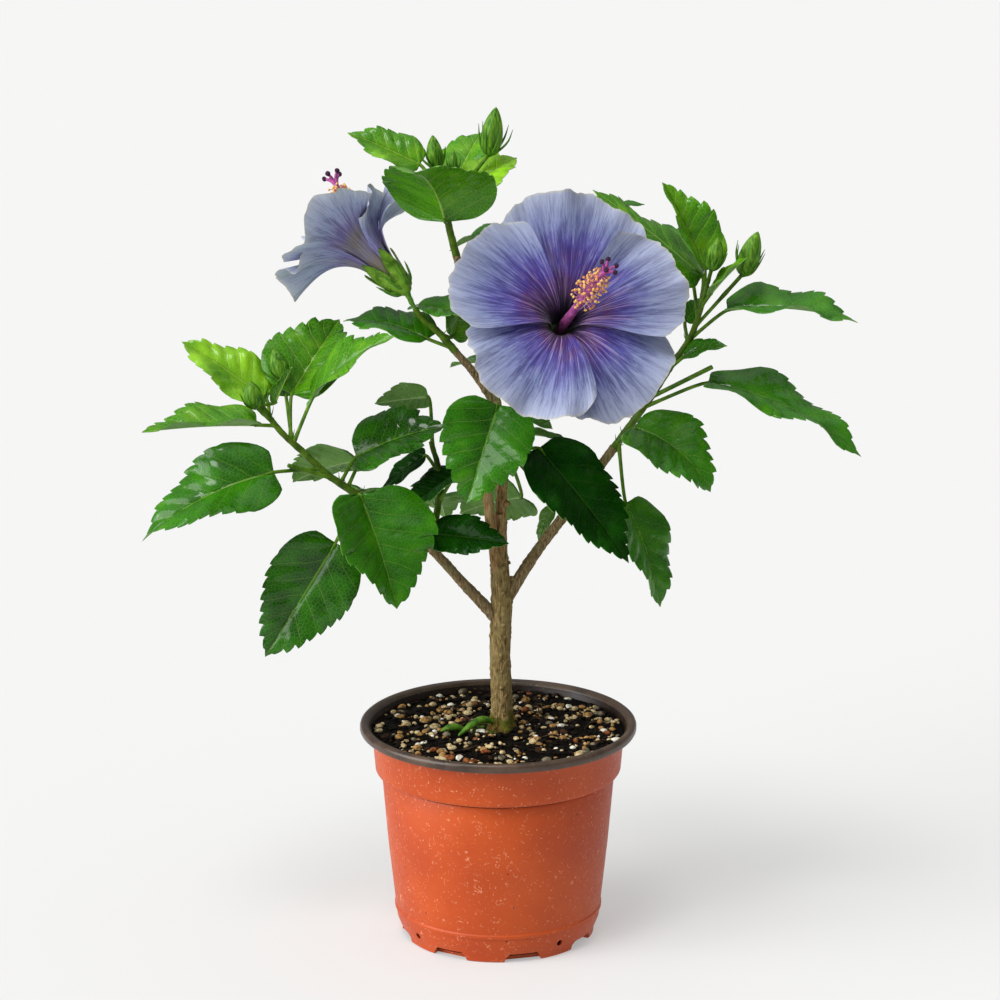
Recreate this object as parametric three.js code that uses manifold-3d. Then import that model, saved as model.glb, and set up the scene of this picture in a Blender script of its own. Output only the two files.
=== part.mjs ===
// A young hibiscus shrub in a round 15 cm nursery pot, in millimetres, +Z up.
// The origin is the centre of the pot's flat underside, and the plant's fuller,
// open face looks toward -Y.  Every solid is closed and stands about 0.3 mm
// clear of the one it is seated on.

import * as THREE from 'three';
import { mergeVertices } from 'three/addons/utils/BufferGeometryUtils.js';
import Module from 'manifold-3d';

const wasm = await Module();
wasm.setup();

// ---------------------------------------------------------------- sizes

const GAP = 0.3; // between seated solids

const POT_HEIGHT = 120;
const POT_RIM_R = 75; // outside of the rolled lip
const POT_FOOT_R = 52.5;
const POT_FLOOR = 2;
const POT_SIDES = 28;
const POT_NOTCHES = 8; // drain notches round the foot
const POT_NOTCH_AT = -75; // heading of the first one
const POT_HOLES = 4; // small holes between some of them

const MIX_TOP = 115; // level under the trunk
const MIX_EDGE = 112.5; // level at the pot's wall

const TRUNK_FOOT_R = 9; // root flare at the mix
const TRUNK_R = 5.6;
const LEADER_R = 2.7;

const LEAF_THICK = 1.0;
const PETAL_THICK = 0.9;
const STALK_R = 0.9;

// ---------------------------------------------------------------- helpers

const V = ( x, y, z ) => new THREE.Vector3( x, y, z );
const rad = THREE.MathUtils.degToRad;
const smooth = THREE.MathUtils.smoothstep;
const lerp = THREE.MathUtils.lerp;

// a repeatable run of numbers from 0 to 1
function seeded( seed ) {

	let s = seed;
	return () => ( s = ( s * 16807 ) % 2147483647 ) / 2147483647;

}

// unit vector that points along a heading (from +X toward +Y) and a rise
function toward( heading, rise ) {

	const h = rad( heading ), r = rad( rise );
	return V( Math.cos( r ) * Math.cos( h ), Math.cos( r ) * Math.sin( h ), Math.sin( r ) );

}

// unit vector at an angle from one direction toward another at right angles to it
function across( from, to, angle ) {

	return from.clone().multiplyScalar( Math.cos( angle ) ).addScaledVector( to, Math.sin( angle ) );

}

// positions and triangles -> indexed geometry with shared vertices
function indexed( positions, triangles ) {

	const geometry = new THREE.BufferGeometry();
	geometry.setAttribute( 'position', new THREE.Float32BufferAttribute( positions, 3 ) );
	geometry.setIndex( triangles );
	return geometry;

}

// closed geometry -> solid
function solid( geometry ) {

	const g = geometry.clone();
	g.deleteAttribute( 'normal' );
	g.deleteAttribute( 'uv' );
	const merged = mergeVertices( g, 1e-4 );
	const index = merged.index.array, kept = [];
	for ( let i = 0; i < index.length; i += 3 ) {

		const [ a, b, c ] = [ index[ i ], index[ i + 1 ], index[ i + 2 ] ];
		if ( a !== b && b !== c && c !== a ) kept.push( a, b, c );

	}

	return new wasm.Manifold( new wasm.Mesh( {
		numProp: 3,
		vertProperties: new Float32Array( merged.attributes.position.array ),
		triVerts: new Uint32Array( kept )
	} ) );

}

const fuse = ( solids ) => wasm.Manifold.union( solids ).simplify( 0.03 );

// solid -> named mesh
function mesh( name, shape, material ) {

	const out = shape.getMesh();
	const geometry = indexed( Array.from( out.vertProperties ), Array.from( out.triVerts ) );
	geometry.computeVertexNormals();
	const m = new THREE.Mesh( geometry, material );
	m.name = name;
	return m;

}

const vectors = ( points ) => points.map( ( p ) => V( ...p ) );
const curve = ( points ) => new THREE.CatmullRomCurve3( vectors( points ), false, 'centripetal' );
const point = ( points, t ) => curve( points ).getPoint( t );
const list = ( places ) => places.map( ( v ) => v.toArray() );

// A round limb through the points, its radius running through the radii.
// 'grow' thickens and lengthens it, for the cut that leaves a gap round it.
function limb( points, radii, sides, steps, grow = 0 ) {

	const path = curve( points );
	const positions = [], triangles = [];
	let normal = V( 0, 1, 0 );
	for ( let i = 0; i <= steps; i ++ ) {

		const t = i / steps;
		const at = path.getPoint( t );
		const along = path.getTangent( t );
		if ( i === 0 ) at.addScaledVector( along, - grow );
		if ( i === steps ) at.addScaledVector( along, grow );
		normal = normal.clone().addScaledVector( along, - normal.dot( along ) ).normalize();
		const side = along.clone().cross( normal );
		const k = t * ( radii.length - 1 );
		const j = Math.min( Math.floor( k ), radii.length - 2 );
		const r = lerp( radii[ j ], radii[ j + 1 ], k - j ) + grow;
		for ( let n = 0; n < sides; n ++ ) {

			const a = 2 * Math.PI * n / sides;
			const p = across( normal, side, a ).multiplyScalar( r ).add( at );
			positions.push( p.x, p.y, p.z );

		}

	}

	for ( let i = 0; i < steps; i ++ ) for ( let n = 0; n < sides; n ++ ) {

		const a = i * sides + n, b = i * sides + ( n + 1 ) % sides;
		triangles.push( a, b, b + sides, a, b + sides, a + sides );

	}

	const last = steps * sides;
	for ( let n = 1; n < sides - 1; n ++ ) {

		triangles.push( 0, n + 1, n );
		triangles.push( last, last + n, last + n + 1 );

	}

	return solid( indexed( positions, triangles ) );

}

// A solid turned about an axis through 'base' from a profile of [ radius, height ]
function turned( profile, sides, base, axis ) {

	const g = new THREE.LatheGeometry( profile.map( ( [ r, z ] ) => new THREE.Vector2( r, z ) ), sides );
	g.applyQuaternion( new THREE.Quaternion().setFromUnitVectors( V( 0, 1, 0 ), axis ) );
	return solid( g.translate( base.x, base.y, base.z ) );

}

// A closed sheet from rows of { p: middle point, m: unit normal, h: half thickness }
function sheet( rows ) {

	const R = rows.length, C = rows[ 0 ].length;
	const positions = [], triangles = [];
	for ( const s of [ 1, - 1 ] ) for ( const row of rows ) for ( const c of row )
		positions.push( c.p.x + s * c.h * c.m.x, c.p.y + s * c.h * c.m.y, c.p.z + s * c.h * c.m.z );
	const top = ( i, j ) => i * C + j;
	const low = ( i, j ) => R * C + i * C + j;
	const quad = ( a, b, c, d ) => triangles.push( a, b, c, a, c, d );
	for ( let i = 0; i < R - 1; i ++ ) {

		for ( let j = 0; j < C - 1; j ++ ) {

			quad( top( i, j ), top( i, j + 1 ), top( i + 1, j + 1 ), top( i + 1, j ) );
			quad( low( i, j ), low( i + 1, j ), low( i + 1, j + 1 ), low( i, j + 1 ) );

		}

		quad( top( i, C - 1 ), low( i, C - 1 ), low( i + 1, C - 1 ), top( i + 1, C - 1 ) );
		quad( top( i, 0 ), top( i + 1, 0 ), low( i + 1, 0 ), low( i, 0 ) );

	}

	for ( let j = 0; j < C - 1; j ++ ) {

		quad( top( 0, j ), low( 0, j ), low( 0, j + 1 ), top( 0, j + 1 ) );
		quad( top( R - 1, j ), top( R - 1, j + 1 ), low( R - 1, j + 1 ), low( R - 1, j ) );

	}

	return solid( indexed( positions, triangles ) );

}

// ---------------------------------------------------------------- leaf

// How wide a leaf is from its stalk (0) to its tip (1), 1 at the widest
function leafOutline( t ) {

	const p = 0.47, q = 1.1, peak = ( p / ( p + q ) ) ** p * ( q / ( p + q ) ) ** q;
	return t ** p * ( 1 - t ) ** q / peak;

}

// A leaf blade.  Its midrib is an arc whose chord runs from the base along
// 'blade'; roll turns the leaf about that chord, droop is the arc's bend, fold
// lifts both halves into a V and twist turns the tip half against the base half.
const LEAF_ROWS = [ 0, 0.05, 0.15, 0.27, 0.39, 0.52, 0.66, 0.82, 1 ];
const LEAF_LOBE = 0.08; // how far the base's corners reach back, of the length

function midrib( base, leaf, t ) {

	const [ heading, rise, length ] = leaf.blade;
	const roll = rad( leaf.roll ), bend = rad( Math.max( leaf.droop, 1 ) );
	const d = toward( heading, rise ), up = toward( heading, rise + 90 );
	const n = across( up, d.clone().cross( up ), roll );
	const a = bend * ( t - 0.5 ), R = length / bend;
	return {
		p: base.clone()
			.addScaledVector( d, R * ( Math.sin( a ) + Math.sin( bend / 2 ) ) )
			.addScaledVector( n, R * ( Math.cos( a ) - Math.cos( bend / 2 ) ) ),
		along: across( d, n, - a ),
		face: across( n, d, a )
	};

}

function leafBlade( base, leaf ) {

	const length = leaf.blade[ 2 ], fold = rad( leaf.fold );
	return sheet( LEAF_ROWS.map( ( t, i ) => {

		const { p, along, face } = midrib( base, leaf, t );
		const m = face.clone().applyAxisAngle( along, rad( leaf.twist ) * ( t - 0.5 ) );
		const side = along.clone().cross( m );
		const tooth = i < 2 ? 1 : i % 2 ? 0.96 : 1.05;
		const w = leaf.width / 2 * leafOutline( t ) * tooth;
		const lobe = LEAF_LOBE * length * Math.min( t / 0.06, 1 ) * Math.max( 0, 1 - t / 0.35 );
		return [ - 1, 0, 1 ].map( ( q ) => ( {
			p: p.clone()
				.addScaledVector( side, w * q * Math.cos( fold ) )
				.addScaledVector( m, w * Math.abs( q ) * Math.sin( fold ) )
				.addScaledVector( along, - lobe * Math.abs( q ) ),
			m,
			h: LEAF_THICK / 2
		} ) );

	} ) );

}

// A leaf on its stalk: [ at, stalk, blade, width, roll, droop, fold, twist ],
// where 'at' is how far along the shoot it grows and stalk and blade are each
// [ heading, rise, length ].
function leafOn( stem, [ at, stalk, blade, width, roll, droop, fold, twist = 0 ] ) {

	const leaf = { blade, width, roll, droop, fold, twist };
	const root = point( stem, at );
	const base = root.clone().addScaledVector( toward( stalk[ 0 ], stalk[ 1 ] ), stalk[ 2 ] );
	const inner = midrib( base, leaf, 0.07 ).p;
	return [
		leafBlade( base, leaf ),
		limb( list( [ root, base, inner ] ), [ STALK_R * 1.15, STALK_R, 0.3 ], 3, 2 )
	];

}

// ---------------------------------------------------------------- bud

// A closed bud on its stalk, with the thin bracts that stand round its base
function budOn( stem, [ at, stalk, bud, width ] ) {

	const root = point( stem, at );
	const base = root.clone().addScaledVector( toward( stalk[ 0 ], stalk[ 1 ] ), stalk[ 2 ] );
	const d = toward( bud[ 0 ], bud[ 1 ] ), L = bud[ 2 ];
	const profile = [ [ 0, 0 ], [ 0.38, 0.1 ], [ 0.5, 0.38 ], [ 0.38, 0.72 ], [ 0, 1 ] ];
	const parts = [
		turned( profile.map( ( [ r, z ] ) => [ r * width, z * L ] ), 6, base, d ),
		limb( list( [ root, base.clone().addScaledVector( d, 1 ) ] ), [ STALK_R, STALK_R ], 3, 1 )
	];
	const e1 = d.clone().cross( V( 0.3, 1, 0.1 ) ).normalize(), e2 = d.clone().cross( e1 );
	for ( let k = 0; k < 3; k ++ ) {

		const a = 2 * Math.PI * k / 3 + 0.4;
		const tip = base.clone().addScaledVector( across( e1, e2, a ), 0.7 * width ).addScaledVector( d, 0.5 * L );
		parts.push( limb( list( [ base, tip ] ), [ 0.6, 0.4 ], 3, 1 ) );

	}

	return parts;

}

// ---------------------------------------------------------------- bloom

// An open hibiscus: calyx, bracts, five petals that each lie over the next, and
// the long column that carries the anthers and the five stigmas.
// 'open' is the petal's lean from the flower's axis at its claw and at its rim,
// and 'sizes' scales each petal, counter-clockwise from the one at 'turn'.
const BRACTS = 6;
const ANTHERS = 9;
const CLAW = 9; // where a petal's blade leaves the calyx, along its length

function bloom( { base, axis, turn, open, bendFrom, bendTo, petal, sizes, reach, lean, stalk } ) {

	const a = toward( ...axis );
	const up = V( 0, 0, 1 ).addScaledVector( a, - a.z ).normalize();
	const right = up.clone().cross( a );
	const O = V( ...base );
	const out = ( azimuth ) => across( right, up, azimuth );
	const place = ( azimuth, r, h ) => O.clone().addScaledVector( out( azimuth ), r ).addScaledVector( a, h );
	const parts = [];

	const innerFace = ( azimuth, f ) => across( out( azimuth ), a, Math.PI - f );

	// the petal's middle line, stepped along its length
	const STEP = 1, line = [ { r: 2.2, h: 0 } ];
	const leanAt = ( s ) => rad( lerp( open[ 0 ], open[ 1 ], smooth( s, bendFrom, bendTo ) ) );
	for ( let s = 0; s < petal * Math.max( ...sizes ) + 2; s += STEP ) {

		const { r, h } = line[ line.length - 1 ], f = leanAt( s + STEP / 2 );
		line.push( { r: r + STEP * Math.sin( f ), h: h + STEP * Math.cos( f ) } );

	}

	const on = ( s ) => {

		const k = Math.min( s / STEP, line.length - 2 ), i = Math.floor( k );
		return { r: lerp( line[ i ].r, line[ i + 1 ].r, k - i ), h: lerp( line[ i ].h, line[ i + 1 ].h, k - i ) };

	};

	for ( let k = 0; k < 5; k ++ ) {

		const rows = [], whole = petal * sizes[ k ];
		for ( const v of [ 0, 0.14, 0.34, 0.64, 1 ] ) {

			const row = [];
			for ( let j = 0; j <= 6; j ++ ) {

				const u = 1 - j / 3;
				const s = CLAW + ( whole * ( 1 - 0.17 * Math.abs( u ) ** 2.6 ) - CLAW ) * v;
				const { r, h } = on( s ), f = leanAt( s );
				const azimuth = rad( turn + 72 * k + 44 * u );
				const m = innerFace( azimuth, f );
				const ruffle = 1.8 * v ** 3 * Math.sin( 5.5 * u + 1.9 * k ) + 0.8 * v ** 4 * Math.sin( 11 * u + k );
				const lift = u * lerp( 1, 2.6, smooth( v, 0, 0.6 ) );
				row.push( { p: place( azimuth, r, h ).addScaledVector( m, lift + ruffle ), m, h: PETAL_THICK / 2 } );

			}

			rows.push( row );

		}

		parts.push( sheet( rows ) );

	}

	// calyx: a cup with five lobes behind the petals, and a whorl of bracts
	parts.push( turned( [ [ 0, - 2 ], [ 2.6, - 2 ], [ 5.4, 2 ], [ 7.3, 10 ], [ 0, 10 ] ], 8, O, a ) );
	for ( let k = 0; k < 5; k ++ ) {

		const lobe = ( s, half ) => [ 1, 0, - 1 ].map( ( u ) => {

			const { r, h } = on( s ), azimuth = rad( turn + 36 + 72 * k ) + half * u;
			const m = innerFace( azimuth, leanAt( s ) );
			return { p: place( azimuth, r, h ).addScaledVector( m, - 3 ), m, h: 0.5 };

		} );
		parts.push( sheet( [ lobe( 7, 0.55 ), lobe( 17, 0.42 ), lobe( 25, 0.05 ) ] ) );

	}

	for ( let k = 0; k < BRACTS; k ++ ) {

		const azimuth = 2 * Math.PI * ( k + 0.3 ) / BRACTS;
		const bract = [ place( azimuth, 2, 0 ), place( azimuth, 6.5, 3 ), place( azimuth, 9.5, 9 ) ];
		parts.push( limb( list( bract ), [ 0.8, 0.7, 0.35 ], 3, 2 ) );

	}

	// column, leaning away from the axis toward its tip
	const columnAt = ( t ) => place( rad( lean[ 0 ] ), lean[ 1 ] * t * t, reach * t );
	const column = [ 0.1, 0.33, 0.55, 0.78, 1 ].map( columnAt );
	const path = curve( list( column ) );
	parts.push( limb( list( column ), [ 2.6, 2.3, 2.0, 1.8, 1.6 ], 5, 5 ) );
	const next = seeded( 7 );
	for ( let k = 0; k < ANTHERS; k ++ ) {

		const t = lerp( 0.6, 0.9, ( k + 0.5 ) / ANTHERS );
		const root = path.getPoint( t ), along = path.getTangent( t );
		const side = along.clone().cross( right ).normalize().applyAxisAngle( along, k * 2.4 );
		const tip = root.clone().addScaledVector( side, 4.5 + 2 * next() ).addScaledVector( along, 1.5 + next() );
		parts.push( limb( list( [ root, tip ] ), [ 0.4, 1.2 ], 3, 1 ) );

	}

	for ( let k = 0; k < 5; k ++ ) {

		const root = path.getPoint( 0.97 ), along = path.getTangent( 1 );
		const side = along.clone().cross( right ).normalize().applyAxisAngle( along, k * 2 * Math.PI / 5 );
		const knee = root.clone().addScaledVector( along, 4 ).addScaledVector( side, 1.6 );
		const tip = root.clone().addScaledVector( along, 6.5 ).addScaledVector( side, 5 );
		parts.push( limb( list( [ root, knee, tip ] ), [ 0.7, 0.7, 1.5 ], 4, 2 ) );

	}

	parts.push( limb( [ ...stalk, O.toArray() ], [ 1.3, 1.4, 1.9 ], 5, 5 ) );
	return fuse( parts );

}

// ---------------------------------------------------------------- pot and mix

const clay = new THREE.MeshStandardMaterial( { color: '#b5563a', roughness: 0.55 } );
const peat = new THREE.MeshStandardMaterial( { color: '#2a211b', roughness: 0.95 } );
const bark = new THREE.MeshStandardMaterial( { color: '#8b7561', roughness: 0.85 } );
const greenBark = new THREE.MeshStandardMaterial( { color: '#6f6b43', roughness: 0.75 } );
const leafGreen = new THREE.MeshStandardMaterial( { color: '#2f6b17', roughness: 0.4 } );
const petalBlue = new THREE.MeshStandardMaterial( { color: '#6f74ad', roughness: 0.6 } );

// Outside of the pot, foot to lip: a bevelled foot, a gently flared wall, the
// step out to the band and the rolled lip
const POT_OUTSIDE = [
	[ POT_FOOT_R, 0 ], [ POT_FOOT_R, 3 ], [ 55.5, 10 ], [ 63.2, 90 ], [ 64.4, 92.6 ], [ 66.6, 96 ],
	[ 68.3, 113.5 ], [ 73.6, 113.5 ], [ POT_RIM_R, 115.4 ],
	[ POT_RIM_R - 0.4, 118.8 ], [ POT_RIM_R - 2.4, POT_HEIGHT ]
];
const POT_INSIDE = [
	[ 68.6, POT_HEIGHT ], [ 66.7, 117.4 ], [ 65, 97 ], [ 62.6, 93 ], [ 61.6, 90 ],
	[ 53.9, 10 ], [ 50.8, POT_FLOOR ]
];
const vector2 = ( points ) => points.map( ( p ) => new THREE.Vector2( ...p ) );

const potProfile = [ [ 0, 0 ], ...POT_OUTSIDE, ...POT_INSIDE, [ 0, POT_FLOOR ] ];
let potSolid = solid( new THREE.LatheGeometry( vector2( potProfile ), POT_SIDES ).rotateX( Math.PI / 2 ) );
for ( let k = 0; k < POT_NOTCHES; k ++ ) {

	const heading = rad( POT_NOTCH_AT + 360 * k / POT_NOTCHES );
	const outline = new THREE.Shape( vector2( [ [ - 11, - 1 ], [ 11, - 1 ], [ 7, 5 ], [ - 7, 5 ] ] ) );
	const notch = new THREE.ExtrudeGeometry( outline, { depth: 12, bevelEnabled: false } );
	notch.translate( 0, 0, POT_FOOT_R - 5.5 ).rotateX( Math.PI / 2 ).rotateZ( heading + Math.PI / 2 );
	potSolid = potSolid.subtract( solid( notch ) );

}

for ( let k = 0; k < POT_HOLES; k ++ ) {

	const heading = rad( POT_NOTCH_AT + 22.5 + 360 * k / POT_HOLES );
	const hole = new THREE.CylinderGeometry( 1.8, 1.8, 12, 12 );
	hole.translate( 0, - POT_FOOT_R - 0.5, 0 ).rotateZ( heading + Math.PI / 2 ).translate( 0, 0, 8 );
	potSolid = potSolid.subtract( solid( hole ) );

}

// The mix fills the pot to just under the lip and rises a little to the trunk,
// in low waves
const mixFoot = POT_FLOOR + GAP;
const mixProfile = [
	[ 0, mixFoot ],
	...POT_INSIDE.slice( 3 ).reverse().map( ( [ r, z ] ) => [ r - 0.4, Math.max( z, mixFoot ) ] ),
	[ 64.6, 97 ], [ 65.8, MIX_EDGE ], [ 60, MIX_EDGE + 0.6 ], [ 45, MIX_EDGE + 1 ], [ 28, MIX_EDGE + 1.6 ],
	[ 13, MIX_TOP ], [ 0, MIX_TOP ]
];
const mixLathe = new THREE.LatheGeometry( vector2( mixProfile ), POT_SIDES ).rotateX( Math.PI / 2 );
const mixAt = mixLathe.attributes.position;
for ( let i = 0; i < mixAt.count; i ++ ) {

	const [ x, y, z ] = [ mixAt.getX( i ), mixAt.getY( i ), mixAt.getZ( i ) ];
	const r = Math.hypot( x, y ), wave = 0.8 * Math.sin( 0.21 * x + 1 ) * Math.cos( 0.17 * y );
	if ( z > MIX_EDGE - 5 && r < 64 ) mixAt.setZ( i, z + wave * smooth( r, 13, 22 ) );

}

const mixSolid = solid( mixLathe );

// ---------------------------------------------------------------- limbs

// The trunk stands on the mix with a root flare, leans a little and runs on as
// the leader; a pruned stub stands beside it where an older stem was cut.
const TRUNK = [
	[ 2, 0, MIX_TOP + GAP ], [ 2, 0, 119 ], [ 2, 0, 131 ], [ 1, 0, 160 ], [ 2, 0, 188 ],
	[ 1, 0, 205 ], [ 0, 0, 227 ], [ 1, 3, 254 ], [ 2, 5, 276 ], [ - 1, 6, 297 ]
];
const TRUNK_RADII = [
	TRUNK_FOOT_R, TRUNK_FOOT_R * 0.74, TRUNK_R + 0.2, TRUNK_R, TRUNK_R + 0.2,
	TRUNK_R - 0.5, LEADER_R + 1.2, LEADER_R + 0.2, LEADER_R, LEADER_R - 0.1
];
const STUB = [ [ 0, - 1, 212 ], [ - 3, - 4, 230 ], [ - 6, - 6, 259 ] ];
const LIMBS = {
	left_bough: {
		points: [ [ - 1, 0, 178 ], [ - 20, - 4, 200 ], [ - 36, - 8, 219 ], [ - 55, - 12, 235 ], [ - 72, - 15, 249 ] ],
		radii: [ 3.4, 2.7, 2.4, 2.3, 2.2 ], steps: 10
	},
	right_bough: {
		points: [ [ 4, 0, 188 ], [ 20, 4, 213 ], [ 34, 8, 231 ], [ 49, 10, 252 ], [ 62, 10, 270 ] ],
		radii: [ 3.6, 2.9, 2.7, 2.5, 2.4 ], steps: 10
	},
	upper_left_bough: {
		points: [ [ - 1, 6, 294 ], [ - 14, 4, 314 ], [ - 23, 2, 325 ] ],
		radii: [ 2.2, 2.0, 1.9 ], steps: 6
	},
	top_bough: {
		points: [ [ - 1, 6, 295 ], [ - 6, 6, 325 ], [ - 15, 4, 352 ], [ - 22, 0, 377 ] ],
		radii: [ 2.4, 2.2, 2.1, 2.0 ], steps: 9
	}
};
const trunkLike = ( grow ) => fuse( [
	limb( TRUNK, TRUNK_RADII, 10, 26, grow ),
	limb( STUB, [ 3.4, 3.1, 2.9 ], 9, 6, grow )
] );

// the trunk is cut flat at the level of the mix
const slice = new THREE.BoxGeometry( 60, 60, 20 ).translate( 0, 0, MIX_TOP + GAP - 10 );
const trunkSolid = trunkLike( 0 ).subtract( solid( slice ) );
const limbSolids = { trunk: trunkSolid };
let limbRoom = trunkLike( GAP );
for ( const [ name, { points, radii, steps } ] of Object.entries( LIMBS ) ) {

	limbSolids[ name ] = limb( points, radii, 8, steps ).subtract( limbRoom );
	limbRoom = fuse( [ limbRoom, limb( points, radii, 8, steps, GAP ) ] );

}

// ---------------------------------------------------------------- foliage

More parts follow.
